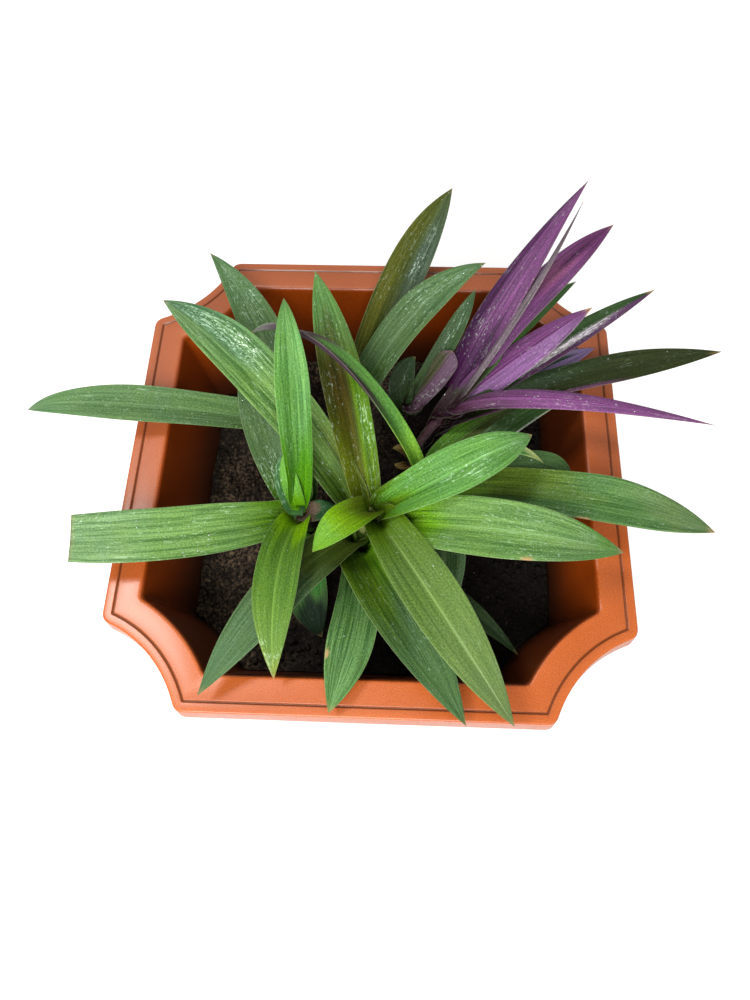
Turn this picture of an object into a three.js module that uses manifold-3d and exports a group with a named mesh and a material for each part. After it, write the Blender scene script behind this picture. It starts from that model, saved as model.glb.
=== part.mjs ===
// Potted tradescantia in a square planter with scooped corners.
// Millimetres, +Z up. The origin is the middle of the planter's underside, and the front is -Y.
import * as THREE from 'three';
import { mergeVertices } from 'three/addons/utils/BufferGeometryUtils.js';
import Module from 'manifold-3d';

// Planter: overall width and height, and the walls
const RIM_HALF = 150;
const POT_HEIGHT = 240;
const WALL = 4;
const FLOOR = 5;
const SLOPE = 0.164;
const CORNER_CENTRE = 174;
const SCOOP_RADIUS = 76;
// How far the outlines' corners are eased: at the rim's outside, in its mouth, and at the groove
const TIP_EASE = 5;
const MOUTH_EASE = 3;
const GROOVE_EASE = 0.8;
const EASE_CHANGE = 5;
// Rim: a flat shelf turned down at the outside, with one groove round its top
const SHELF_WIDTH = 21;
const SHELF_THICKNESS = 4;
const LIP_HEIGHT = 15;
const LIP_FLARE = 1.5;
const LIP_ROUND = 1.2;
const GROOVE_INSET = 6;
const GROOVE_HALF = 0.8;
const GROOVE_DEPTH = 1;
const MOUTH_ROUND = 1.5;
const FOOT_BEVEL = 2;
// Drain holes in the floor
const DRAIN_RADIUS = 6;
const DRAIN_REACH = 55;
const DRAIN_COUNT = 4;
// Soil: its level, the height and lengths of its waves, and where the rings of its top lie
const SOIL_LEVEL = 170;
const SOIL_WAVE = 2.5;
const SOIL_LONG_WAVE = 21;
const SOIL_CROSS_WAVE = 17;
const SOIL_SHORT_WAVE = 9;
const SOIL_RINGS = [1, 0.9, 0.76, 0.6, 0.44, 0.28, 0.12];
// Clearance of the soil to the planter and to the stems, which go down into it
const GAP = 0.38;
const STEM_DEPTH = 45;
// Stems: how far up the bend starts, and their faces
const STEM_BEND = 0.6;
const STEM_SIDES = 12;
const STEM_STEPS = 7;
// Blades: thickness at the midrib and at the edges, and width of the blunt point
const BLADE_SPANS = 8;
const BLADE_MIDDLE = 1.4;
const BLADE_EDGE = 1;
const BLADE_TIP = 1.4;
// Blades: width of the sheath at the stem, how fast they swell, and how a cut one narrows
const SHEATH_WIDTH = 0.5;
const SWELL_POWER = 0.8;
const CUT_NARROWING = 0.12;
// Blades: how much of the fold is lost by the tip, and how the sheath folds round the stem
const FOLD_LOSS = 0.5;
const SHEATH_FOLD = 0.9;
const SHEATH_POWER = 5;

// Each shoot: where its stem leaves the soil, its crown, the stem's radius, and its leaves.
// A leaf starts on the stem (at: 0 the soil, 1 the crown), heads off in plan (degrees from +X),
// reaches so far, rises so much, and its middle stands off the straight line to its tip by arch
// upwards and by sweep to its right. bend is how far along the midrib's curve is drawn to. roll
// turns the blade about its midrib, and 180 shows its underside. twist adds turn towards the tip,
// fold raises the two halves from the midrib, peak is where it is widest, taper how bluntly it
// narrows past that, and cut ends it square.
const SHOOTS = {
  shoot_front_left: {
    foot: [-40, -24], crown: [-44, -34, 234], radius: 7, colour: 0x5f9a3c,
    leaves: [
      {
        at: 0.8, heading: -166, reach: 127, rise: 38, arch: 11, sweep: -7, width: 30,
        peak: 0.6, roll: -12, cut: true,
      },
      {
        at: 0.92, heading: -92.5, reach: 100, rise: 20, arch: 30, sweep: 2, width: 24,
        peak: 0.5, taper: 1.9,
      },
      {
        at: 0.97, heading: 92.4, reach: 87, rise: 94, arch: 34, sweep: 4, width: 19,
        peak: 0.46, roll: 40, twist: -44, taper: 1.5,
      },
      { at: 0.97, heading: 103, reach: 22, rise: 43, arch: 6, sweep: -2, width: 14, fold: 0.5 },
      { at: 0.62, heading: 113, reach: 191, rise: 39, arch: 18, sweep: 14, width: 28 },
      { at: 0.8, heading: 111, reach: 115, rise: 22, arch: 10, sweep: -3, width: 31 },
      { at: 0.9, heading: 7, reach: 23, rise: 13, arch: 9, sweep: 4, width: 13, fold: 0.5 },
      { at: 0.35, heading: -82, reach: 73, rise: -10, arch: 6, sweep: 7, width: 27, peak: 0.55 },
    ],
  },
  shoot_centre: {
    foot: [-12, -44], crown: [2, -34, 244], radius: 8, colour: 0x69a33a,
    leaves: [
      { at: 0.9, heading: 104.8, reach: 150, rise: 44, arch: 14, sweep: 1, width: 25 },
      { at: 0.8, heading: 135, reach: 186, rise: 39, arch: 25, sweep: 7, width: 31, peak: 0.55 },
      { at: 0.95, heading: 22, reach: 95, rise: 39, arch: 24, sweep: 7, width: 27, peak: 0.5 },
      { at: 0.8, heading: -9.6, reach: 143, rise: 33, arch: 34, sweep: 7, width: 33, peak: 0.48 },
      { at: 0.99, heading: -57.8, reach: 140, rise: 17, arch: 28, sweep: 4, width: 29 },
      {
        at: 0.5, heading: -60.8, reach: 127, rise: 38, arch: 32, sweep: 3, width: 36,
        peak: 0.27, taper: 2.4, bend: 0.42,
      },
      {
        at: 0.35, heading: -94.2, reach: 106, rise: 49, arch: 17, sweep: -8, width: 26,
        peak: 0.66, bend: 0.35,
      },
      { at: 1, heading: -134, reach: 46, rise: 24, arch: 18, sweep: -1, width: 19, fold: 0.5 },
      {
        at: 0.62, heading: -128.3, reach: 130, rise: 31, arch: 26, sweep: 2.5, width: 26,
        peak: 0.48, taper: 2.4, bend: 0.35,
      },
      { at: 0.3, heading: -32.3, reach: 120, rise: 4, arch: 15, sweep: -5, width: 14, peak: 0.49 },
    ],
  },
  shoot_right: {
    foot: [36, -2], crown: [33, -7, 216], radius: 6, colour: 0x4f8436,
    leaves: [
      {
        at: 0.95, heading: 148, reach: 125, rise: 72, arch: 54, sweep: 3, width: 15,
        peak: 0.5, fold: 0.8, twist: 80,
      },
      { at: 0.8, heading: -14, reach: 164, rise: 46, arch: 33, sweep: 4, width: 28, peak: 0.58 },
      { at: 0.9, heading: -2.7, reach: 64, rise: 52, arch: 31, sweep: -3, width: 9 },
      { at: 0.55, heading: -88, reach: 97, rise: 6, arch: 25, sweep: -8, width: 24 },
      { at: 0.7, heading: 41.5, reach: 83, rise: 26, arch: 4, sweep: -10, width: 19.5, bend: 0.26 },
      {
        at: 0.6, heading: 32.5, reach: 101, rise: 31, arch: 17, sweep: -1.5, width: 14,
        bend: 0.68,
      },
      {
        at: 0.5, heading: -9.8, reach: 85, rise: 42, arch: 25, sweep: -6, width: 26,
        peak: 0.65, bend: 0.75,
      },
    ],
  },
  shoot_back_left: {
    foot: [-20, 44], crown: [-20, 44, 206], radius: 6, colour: 0x4a7a35,
    leaves: [
      {
        at: 0.8, heading: 65.5, reach: 161, rise: 69, arch: 15, sweep: -2, width: 28,
        peak: 0.54, fold: 0.55,
      },
      { at: 0.95, heading: 43, reach: 119, rise: 68, arch: 18, sweep: -8, width: 25, peak: 0.5 },
      {
        at: 0.5, heading: -176.3, reach: 202, rise: 50, arch: 32, sweep: -7, width: 25,
        taper: 2, bend: 0.73,
      },
    ],
  },
  shoot_purple: {
    foot: [22, 24], crown: [46, 46, 222], radius: 6, colour: 0x7b3f8c,
    leaves: [
      {
        at: 0.85, heading: 49.4, reach: 116, rise: 120, arch: 0, sweep: -6, width: 23,
        peak: 0.38, fold: 0.4, roll: 180, taper: 1.8,
      },
      {
        at: 0.92, heading: 49.5, reach: 114, rise: 101, arch: 8, sweep: 6, width: 6.5,
        peak: 0.38, roll: 150, taper: 1.6,
      },
      {
        at: 0.8, heading: 42.2, reach: 137, rise: 88, arch: 12, sweep: -6, width: 22,
        peak: 0.66, roll: 170,
      },
      {
        at: 0.95, heading: 21.4, reach: 86, rise: 75, arch: -1, sweep: -3, width: 21.5,
        peak: 0.57, roll: 180, taper: 2.4, bend: 0.4,
      },
      {
        at: 0.7, heading: 27.3, reach: 153, rise: 66, arch: 13, sweep: 2, width: 16,
        peak: 0.5, fold: 0.4,
      },
      {
        at: 0.75, heading: 9.6, reach: 174, rise: 57, arch: 18, sweep: -1, width: 19.5,
        peak: 0.7, bend: 0.3,
      },
      {
        at: 1, heading: -15, reach: 148, rise: 60, arch: 26, sweep: 2, width: 13.5,
        peak: 0.45, roll: 180, taper: 1.9, bend: 0.15,
      },
      { at: 0.62, heading: 42.6, reach: 128, rise: 59, arch: 20, sweep: -1, width: 15, peak: 0.5 },
      {
        at: 0.66, heading: 25, reach: 119, rise: 36, arch: 7.5, sweep: -2, width: 15,
        peak: 0.6, roll: 180, taper: 3,
      },
    ],
  },
  shoot_back: {
    foot: [13, 52], crown: [20, 56, 208], radius: 4, colour: 0x6a5a52,
    leaves: [
      {
        at: 0.98, heading: 34, reach: 34, rise: 42, arch: 5, sweep: 3, width: 16.5,
        peak: 0.7, fold: 0.5, roll: 180, taper: 4,
      },
      {
        at: 0.9, heading: 51, reach: 67, rise: 65, arch: 4, sweep: 3, width: 13.5,
        peak: 0.55, fold: 0.4,
      },
      {
        at: 0.8, heading: 74, reach: 27, rise: 32, arch: 3, sweep: -5, width: 17,
        fold: 0.4, taper: 2.8,
      },
    ],
  },
};

const wasm = await Module();
wasm.setup();

// A closed geometry with merged vertices as a solid
function solidOf(geometry) {
  const bare = geometry.clone();
  bare.deleteAttribute('normal');
  bare.deleteAttribute('uv');
  const merged = mergeVertices(bare, 1e-4);
  return new wasm.Manifold(new wasm.Mesh({
    numProp: 3,
    vertProperties: new Float32Array(merged.attributes.position.array),
    triVerts: new Uint32Array(merged.index.array),
  }));
}

// A solid back into a geometry
function geometryOf(solid) {
  const mesh = solid.getMesh();
  const geometry = new THREE.BufferGeometry();
  geometry.setAttribute('position', new THREE.BufferAttribute(mesh.vertProperties, 3));
  geometry.setIndex(new THREE.BufferAttribute(mesh.triVerts, 1));
  geometry.computeVertexNormals();
  return geometry;
}

// A geometry from a list of points and a list of corner numbers
function shellGeometry(points, corners) {
  const geometry = new THREE.BufferGeometry();
  geometry.setFromPoints(points);
  geometry.setIndex(corners);
  return geometry;
}

// How far a corner is eased: least at the groove, and the full amount a little way from it
function cornerEase(inset) {
  const full = inset < GROOVE_INSET ? TIP_EASE : MOUTH_EASE;
  const away = Math.min(Math.abs(inset - GROOVE_INSET) / EASE_CHANGE, 1);
  return Math.max(full * away, GROOVE_EASE);
}

// One corner of the planter's outline, from the +X side to the +Y side. Every outline is the same
// square with scooped corners, moved in by inset: the sides come in and the scoops' radius grows.
function cornerPoints(inset) {
  const half = RIM_HALF - inset;
  const radius = SCOOP_RADIUS + inset;
  const across = CORNER_CENTRE - half;
  const tip = CORNER_CENTRE - Math.sqrt(radius * radius - across * across);
  const start = Math.atan2(tip - CORNER_CENTRE, -across);
  const end = Math.atan2(-across, tip - CORNER_CENTRE);
  const reach = cornerEase(inset);
  const ease = reach / radius;
  const onArc = (angle) => new THREE.Vector2(
    CORNER_CENTRE + radius * Math.cos(angle),
    CORNER_CENTRE + radius * Math.sin(angle),
  );
  const first = new THREE.QuadraticBezierCurve(
    new THREE.Vector2(half, tip - reach),
    new THREE.Vector2(half, tip),
    onArc(start - ease),
  ).getPoints(3);
  const last = new THREE.QuadraticBezierCurve(
    onArc(end + ease),
    new THREE.Vector2(tip, half),
    new THREE.Vector2(tip - reach, half),
  ).getPoints(3);
  const arcSteps = 6;
  const arc = [];
  for (let i = 1; i < arcSteps; i += 1) {
    arc.push(onArc(THREE.MathUtils.lerp(start - ease, end + ease, i / arcSteps)));
  }
  return [...first, ...arc, ...last];
}

// The whole outline at a height, shrunk towards the middle by scale
function outline(inset, height, scale = 1) {
  const corner = cornerPoints(inset);
  const middle = new THREE.Vector2(0, 0);
  const points = [];
  for (let quarter = 0; quarter < 4; quarter += 1) {
    for (const point of corner) {
      const turned = point.clone().rotateAround(middle, (quarter * Math.PI) / 2);
      points.push(new THREE.Vector3(turned.x * scale, turned.y * scale, height));
    }
  }
  return points;
}

// Outlines stacked into one closed skin: each is joined to the next, and the two ends are fanned
// to a point in their middle. They run so that the skin's outside is on the right going up.
function stackRings(rings, bottom, top) {
  const count = rings[0].length;
  const points = rings.flat();
  const corners = [];
  for (let ring = 0; ring + 1 < rings.length; ring += 1) {
    for (let i = 0; i < count; i += 1) {
      const j = (i + 1) % count;
      const low = ring * count;
      const high = low + count;
      corners.push(low + i, low + j, high + j, low + i, high + j, high + i);
    }
  }
  const last = (rings.length - 1) * count;
  points.push(bottom, top);
  for (let i = 0; i < count; i += 1) {
    const j = (i + 1) % count;
    corners.push(points.length - 2, j, i);
    corners.push(points.length - 1, last + i, last + j);
  }
  return shellGeometry(points, corners);
}

// How far in from the rim's outside the planter's inner wall stands at a height
function innerInset(height) {
  return SHELF_WIDTH + (POT_HEIGHT - height) * SLOPE;
}

// Planter: up the outside, out under the rim's shelf, round its lip, in over its top with the
// groove, and down the inside to the floor
function planterSolid() {
  const shelfUnder = POT_HEIGHT - SHELF_THICKNESS;
  const lipFoot = POT_HEIGHT - LIP_HEIGHT;
  const profile = [
    [innerInset(0) - WALL + FOOT_BEVEL, 0],
    [innerInset(0) - WALL, FOOT_BEVEL],
    [innerInset(shelfUnder) - WALL, shelfUnder],
    [WALL, shelfUnder],
    [WALL - LIP_FLARE, lipFoot],
    [-LIP_FLARE, lipFoot],
    [0, POT_HEIGHT - LIP_ROUND],
    [LIP_ROUND / 2, POT_HEIGHT],
    [GROOVE_INSET - GROOVE_HALF, POT_HEIGHT],
    [GROOVE_INSET, POT_HEIGHT - GROOVE_DEPTH],
    [GROOVE_INSET + GROOVE_HALF, POT_HEIGHT],
    [SHELF_WIDTH - MOUTH_ROUND, POT_HEIGHT],
    [innerInset(POT_HEIGHT - MOUTH_ROUND), POT_HEIGHT - MOUTH_ROUND],
    [innerInset(FLOOR), FLOOR],
  ];
  const rings = profile.map(([inset, height]) => outline(inset, height));
  const bottom = new THREE.Vector3(0, 0, 0);
  const top = new THREE.Vector3(0, 0, FLOOR);
  let solid = solidOf(stackRings(rings, bottom, top));
  for (let i = 0; i < DRAIN_COUNT; i += 1) {
    const angle = ((i + 0.5) * 2 * Math.PI) / DRAIN_COUNT;
    const drain = new THREE.CylinderGeometry(DRAIN_RADIUS, DRAIN_RADIUS, FLOOR * 4, 16);
    drain.rotateX(Math.PI / 2);
    drain.translate(DRAIN_REACH * Math.cos(angle), DRAIN_REACH * Math.sin(angle), FLOOR / 2);
    solid = solid.subtract(solidOf(drain));
  }
  return solid;
}

// Height of the soil's uneven top
function soilHeight(x, y) {
  const broad = Math.sin(x / SOIL_LONG_WAVE) * Math.cos(y / SOIL_CROSS_WAVE);
  const fine = Math.sin((x + y) / SOIL_SHORT_WAVE);
  return SOIL_LEVEL + SOIL_WAVE * (broad + fine / 2);
}

// Soil: fills the planter up to its level, with a plain hole for each stem
function soilSolid() {
  const low = FLOOR + GAP;
  const edge = SOIL_LEVEL - 2 * SOIL_WAVE;
  const rings = [outline(innerInset(low) + GAP, low), outline(innerInset(edge) + GAP, edge)];
  for (const scale of SOIL_RINGS) {
    const ring = outline(innerInset(SOIL_LEVEL) + GAP + SOIL_WAVE, 0, scale);
    ring.forEach((point) => point.setZ(soilHeight(point.x, point.y)));
    rings.push(ring);
  }
  const bottom = new THREE.Vector3(0, 0, low);
  const top = new THREE.Vector3(0, 0, soilHeight(0, 0));
  let solid = solidOf(stackRings(rings, bottom, top));
  const depth = STEM_DEPTH + GAP;
  for (const { foot, radius } of Object.values(SHOOTS)) {
    const hole = new THREE.CylinderGeometry(radius + GAP, radius + GAP, 2 * depth, STEM_SIDES);
    hole.rotateX(Math.PI / 2);
    hole.translate(foot[0], foot[1], SOIL_LEVEL);
    solid = solid.subtract(solidOf(hole));
  }
  return solid;
}

// A stem's line above the soil: straight up out of it, then over to its crown
function stemCurve({ foot, crown }) {
  const bend = THREE.MathUtils.lerp(SOIL_LEVEL, crown[2], STEM_BEND);
  return new THREE.QuadraticBezierCurve3(
    new THREE.Vector3(foot[0], foot[1], SOIL_LEVEL),
    new THREE.Vector3(foot[0], foot[1], bend),
    new THREE.Vector3(...crown),
  );
}

// A stem: a tube from its foot in the soil to just under its crown
function stemSolid(shoot) {
  const above = stemCurve(shoot);
  const [x, y] = shoot.foot;
  const path = new THREE.CurvePath();
  path.add(new THREE.LineCurve3(new THREE.Vector3(x, y, SOIL_LEVEL - STEM_DEPTH), above.v0));
  path.add(above);
  const section = new THREE.Shape();
  section.absarc(0, 0, shoot.radius, 0, 2 * Math.PI);
  const tube = new THREE.ExtrudeGeometry(section, {
    steps: STEM_STEPS,
    curveSegments: STEM_SIDES / 2,
    bevelEnabled: false,
    extrudePath: path,
  });
  return solidOf(tube);
}

// A blade's full width at t along it, as a share of its greatest width: it swells from the sheath
// to the peak as a sine of a power of t, and narrows to the tip by a power of the way past the peak
function widthShare(t, { peak = 0.45, taper = 2.2, cut = false }) {
  if (t < peak) {
    const swell = Math.pow(t / peak, SWELL_POWER);
    return SHEATH_WIDTH + (1 - SHEATH_WIDTH) * Math.sin((Math.PI / 2) * swell);
  }
  const past = (t - peak) / (1 - peak);
  return 1 - (cut ? CUT_NARROWING : 1) * Math.pow(past, taper);
}

// A blade: a strip three points wide over and under a bowed midrib, folded up along it, and cut
// into the same triangles on both faces
function bladeSolid(shoot, leaf) {
  const { bend = 0.5, fold = 0.3, roll = 0, twist = 0 } = leaf;
  const up = new THREE.Vector3(0, 0, 1);
  const heading = THREE.MathUtils.degToRad(leaf.heading);
  const ahead = new THREE.Vector3(Math.cos(heading), Math.sin(heading), 0);
  const right = new THREE.Vector3().crossVectors(ahead, up);
  const root = stemCurve(shoot).getPoint(leaf.at);
  const tip = root.clone().addScaledVector(ahead, leaf.reach).addScaledVector(up, leaf.rise);
  const control = root.clone().lerp(tip, bend);
  control.addScaledVector(up, 2 * leaf.arch).addScaledVector(right, 2 * leaf.sweep);
  const midrib = new THREE.QuadraticBezierCurve3(root, control, tip);
  const over = [];
  const under = [];
  for (let i = 0; i <= BLADE_SPANS; i += 1) {
    const t = i / BLADE_SPANS;
    const along = midrib.getTangent(t);
    const turn = THREE.MathUtils.degToRad(roll + twist * t);
    const side = new THREE.Vector3().crossVectors(along, up).normalize();
    side.applyAxisAngle(along, turn);
    const face = new THREE.Vector3().crossVectors(side, along);
    const half = Math.max(leaf.width * widthShare(t, leaf), BLADE_TIP) / 2;
    const lift = fold * (1 - FOLD_LOSS * t) + SHEATH_FOLD * Math.pow(1 - t, SHEATH_POWER);
    for (const across of [-1, 0, 1]) {
      const point = midrib.getPoint(t).addScaledVector(side, across * half);
      point.addScaledVector(face, lift * half * Math.abs(across));
      const thickness = across === 0 ? BLADE_MIDDLE : BLADE_EDGE;
      over.push(point.clone().addScaledVector(face, thickness / 2));
      under.push(point.clone().addScaledVector(face, -thickness / 2));
    }
  }
  return solidOf(stripGeometry(over, under));
}

// Two faces of a strip, three points wide, closed along its edges and ends
function stripGeometry(over, under) {
  const corners = [];
  const shift = over.length;
  const quad = (a, b, c, d) => corners.push(a, b, c, a, c, d);
  for (let row = 0; row < BLADE_SPANS; row += 1) {
    const here = row * 3;
    const next = here + 3;
    for (let k = 0; k < 2; k += 1) {
      quad(here + k, here + k + 1, next + k + 1, next + k);
      corners.push(shift + here + k, shift + next + k + 1, shift + here + k + 1);
      corners.push(shift + here + k, shift + next + k, shift + next + k + 1);
    }
    quad(here, next, shift + next, shift + here);
    quad(next + 2, here + 2, shift + here + 2, shift + next + 2);
  }
  const end = BLADE_SPANS * 3;
  for (let k = 0; k < 2; k += 1) {
    quad(k + 1, k, shift + k, shift + k + 1);
    quad(end + k, end + k + 1, shift + end + k + 1, shift + end + k);
  }
  return shellGeometry([...over, ...under], corners);
}

// A shoot: its leaves fused into its stem. Pockets shut in between leaf bases are filled, which is
// done by keeping the skin with the greatest volume
function shootSolid(shoot) {
  let solid = stemSolid(shoot);
  for (const leaf of shoot.leaves) {
    solid = solid.add(bladeSolid(shoot, leaf));
  }
  const skins = solid.decompose();
  skins.sort((a, b) => b.volume() - a.volume());
  return skins[0];
}

// A named mesh with its own finish
function piece(name, solid, colour, roughness) {
  const material = new THREE.MeshStandardMaterial({ color: colour, roughness, metalness: 0 });
  const mesh = new THREE.Mesh(geometryOf(solid), material);
  mesh.name = name;
  return mesh;
}

const plant = new THREE.Group();
plant.add(piece('planter', planterSolid(), 0xc96a43, 0.55));
plant.add(piece('soil', soilSolid(), 0x2e221c, 0.95));
for (const [name, shoot] of Object.entries(SHOOTS)) {
  plant.add(piece(name, shootSolid(shoot), shoot.colour, 0.4));
}

export default plant;
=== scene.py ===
"""Looks of a potted tradescantia, built round its packed planter, soil and shoots.

The plant's and the planter's own sizes are written in millimetres, as a gardener would measure
them, and MM turns them into the metres of the meshes. The origin is the middle of the planter's
underside, +Z is up, and the front is -Y.
"""

import logging
import math
from dataclasses import dataclass, field
from enum import Enum

import bpy
import numpy as np
from mathutils import Matrix, Vector


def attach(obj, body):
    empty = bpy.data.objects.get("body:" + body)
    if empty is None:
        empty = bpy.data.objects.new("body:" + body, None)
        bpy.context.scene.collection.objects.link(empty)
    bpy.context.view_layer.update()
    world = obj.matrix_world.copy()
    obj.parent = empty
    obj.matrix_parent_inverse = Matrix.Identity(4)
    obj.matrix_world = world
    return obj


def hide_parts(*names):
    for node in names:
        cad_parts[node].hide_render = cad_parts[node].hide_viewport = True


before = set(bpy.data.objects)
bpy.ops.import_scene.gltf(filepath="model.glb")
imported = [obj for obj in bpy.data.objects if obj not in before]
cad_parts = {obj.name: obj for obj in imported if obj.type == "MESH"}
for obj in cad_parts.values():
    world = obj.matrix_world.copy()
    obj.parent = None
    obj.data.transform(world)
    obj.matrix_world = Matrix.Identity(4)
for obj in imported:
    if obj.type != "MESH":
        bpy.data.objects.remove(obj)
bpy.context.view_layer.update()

BODY = "root"
LEAF_MAP = "leaf_map"
MM = 0.001
UP = np.array([0.0, 0.0, 1.0])

Array = np.ndarray
Colour = tuple[float, float, float]
Range = tuple[float, float]
Piece = bpy.types.Object
Material = bpy.types.Material
Tree = bpy.types.NodeTree
Node = bpy.types.Node
Socket = bpy.types.NodeSocket
log = logging.getLogger("potted_tradescantia")


# Surfaces and meshes


def smooth_noise(x: Array, y: Array, seed: int) -> Array:
    """Smooth noise over a plane.

    Formula: random values stand on the whole numbers of a repeating lattice, and between them
    the four nearest are blended by f*f*(3 - 2*f) of the way across the cell each way.

    Args:
        x: First coordinate, in lattice cells.
        y: Second coordinate, in lattice cells.
        seed: Seed of the lattice's random values.

    Returns:
        Values from -1 to 1, shaped as x.
    """
    size = 64
    lattice = np.random.default_rng(seed).uniform(-1.0, 1.0, (size, size))
    column, row = np.floor(x).astype(int), np.floor(y).astype(int)
    across, along = x - column, y - row
    across, along = across**2 * (3 - 2 * across), along**2 * (3 - 2 * along)
    here = lattice[column % size, row % size] * (1 - across)
    here = here + lattice[(column + 1) % size, row % size] * across
    above = lattice[column % size, (row + 1) % size] * (1 - across)
    above = above + lattice[(column + 1) % size, (row + 1) % size] * across
    return here * (1 - along) + above * along


def smooth_step(low: float, high: float, value: Array) -> Array:
    """0 at low and 1 at high, with f*f*(3 - 2*f) in between, whichever of the two is larger."""
    share = np.clip((value - low) / (high - low), 0.0, 1.0)
    return share * share * (3 - 2 * share)


def unit(vectors: Array) -> Array:
    """The vectors of the last axis, each of length 1."""
    return vectors / np.linalg.norm(vectors, axis=-1, keepdims=True)


def full_turn(sides: int) -> Array:
    """The angles of equal steps round a full turn, from 0 on."""
    return np.arange(sides) * 2 * math.pi / sides


def grid_quads(rows: int, columns: int, closed: bool) -> Array:
    """Faces of a grid of points stored row by row.

    Args:
        rows: Points along the first parameter.
        columns: Points along the second parameter.
        closed: Whether the last column joins the first again.

    Returns:
        Four point numbers a face.
    """
    here = np.arange(columns if closed else columns - 1)
    right = (here + 1) % columns
    start = np.arange(rows - 1)[:, None] * columns
    corners = [start + here, start + right, start + columns + right, start + columns + here]
    return np.stack(corners, -1).reshape(-1, 4)


def fan(ring: Array, pole: int) -> Array:
    """Triangles from each side of a ring of point numbers to its pole, as three numbers each."""
    return np.stack([ring, np.full(len(ring), pole), np.roll(ring, -1)], -1)


def end_fans(rows: int, columns: int) -> Array:
    """Triangles that close a grid of rings at both ends.

    Args:
        rows: How many rings the grid has.
        columns: Points round each ring.

    Returns:
        Three point numbers a face, where the two poles follow the grid's own points.
    """
    count = rows * columns
    first = np.arange(columns)
    return np.concatenate([fan(first, count), fan(first + count - columns, count + 1)[:, ::-1]])


@dataclass
class Shell:
    """Points and faces of one closed surface, with a value or colour at each point."""

    points: Array
    quads: Array = field(default_factory=lambda: np.zeros((0, 4), int))
    triangles: Array = field(default_factory=lambda: np.zeros((0, 3), int))
    values: dict[str, Array] = field(default_factory=dict)
    map: Array | None = None

    def facing_out(self) -> "Shell":
        """The same shell, with its faces turned where they point inwards.

        Formula: the volume is a sixth of the sum of a . (b x c) over all triangles a, b, c, and
        it is negative where the faces point inwards.

        Returns:
            This shell, changed in place.
        """
        halves = [self.quads[:, [0, 1, 2]], self.quads[:, [0, 2, 3]], self.triangles]
        a, b, c = (self.points[np.concatenate(halves)[:, k]] for k in range(3))
        if np.einsum("ij,ij->", a, np.cross(b, c)) < 0:
            self.quads, self.triangles = self.quads[:, ::-1], self.triangles[:, ::-1]
        return self

    def piece(self, name: str, material: Material, sharp_deg: float = 180.0) -> Piece:
        """Puts the shell into the scene.

        Args:
            name: Name of the object and of its mesh.
            material: Its finish.
            sharp_deg: Edges bent by more than this many degrees stay sharp.

        Returns:
            The new object, at the origin.
        """
        mesh = bpy.data.meshes.new(name)
        corners = np.concatenate([self.quads.ravel(), self.triangles.ravel()])
        sizes = np.repeat([4, 3], [len(self.quads), len(self.triangles)])
        mesh.vertices.add(len(self.points))
        mesh.vertices.foreach_set("co", self.points.astype(np.float32).ravel())
        mesh.loops.add(len(corners))
        mesh.loops.foreach_set("vertex_index", corners.astype(np.int32))
        mesh.polygons.add(len(sizes))
        mesh.polygons.foreach_set("loop_start", (np.cumsum(sizes) - sizes).astype(np.int32))
        mesh.polygons.foreach_set("use_smooth", np.ones(len(sizes), bool))
        mesh.update(calc_edges=True)
        mesh.validate()
        for key, value in self.values.items():
            if value.ndim == 1:
                made = mesh.attributes.new(key, "FLOAT", "POINT")
                made.data.foreach_set("value", value.astype(np.float32))
            else:
                made = mesh.attributes.new(key, "FLOAT_COLOR", "POINT")
                full = np.concatenate([value, np.ones((len(value), 1))], 1)
                made.data.foreach_set("color", full.astype(np.float32).ravel())
        if self.map is not None:
            layer = mesh.uv_layers.new(name=LEAF_MAP)
            layer.data.foreach_set("uv", self.map[corners].astype(np.float32).ravel())
        mesh.set_sharp_from_angle(angle=math.radians(sharp_deg))
        mesh.materials.append(material)
        made_object = bpy.data.objects.new(name, mesh)
        bpy.context.scene.collection.objects.link(made_object)
        return made_object


def joined(shells: list[Shell]) -> Shell:
    """Several shells as one, with their point numbers shifted past each other.

    Args:
        shells: The shells, all with values of the same names and all with a map or none.

    Returns:
        One shell with all their points and faces.
    """
    starts = np.cumsum([0] + [len(shell.points) for shell in shells[:-1]])
    keys = shells[0].values.keys()
    maps = [shell.map for shell in shells]
    return Shell(
        points=np.concatenate([shell.points for shell in shells]),
        quads=np.concatenate([shell.quads + start for shell, start in zip(shells, starts)]),
        triangles=np.concatenate([shell.triangles + start for shell, start in zip(shells, starts)]),
        values={key: np.concatenate([shell.values[key] for shell in shells]) for key in keys},
        map=None if maps[0] is None else np.concatenate(maps),
    )


def scattered(template: Array, faces: Array, places: Array, axes: Array, sizes: Array) -> Shell:
    """Many small copies of one closed form.

    Formula: a point p of the copy n stands at places[n] + (p * sizes[n]) @ axes[n].

    Args:
        template: Points of the form, about its middle.
        faces: Three point numbers a face.
        places: Middle of each copy.
        axes: A 3 by 3 turn for each copy, its rows the directions of the form's axes.
        sizes: Size along the form's three axes, of each copy or of each point of each copy.

    Returns:
        One shell with all the copies.
    """
    sized = template[None, :, :] * (sizes if sizes.ndim == 3 else sizes[:, None, :])
    points = np.einsum("npk,nkj->npj", sized, axes) + places[:, None, :]
    starts = np.arange(len(places))[:, None, None] * len(template)
    return Shell(points.reshape(-1, 3), triangles=(faces[None] + starts).reshape(-1, 3))


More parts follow.
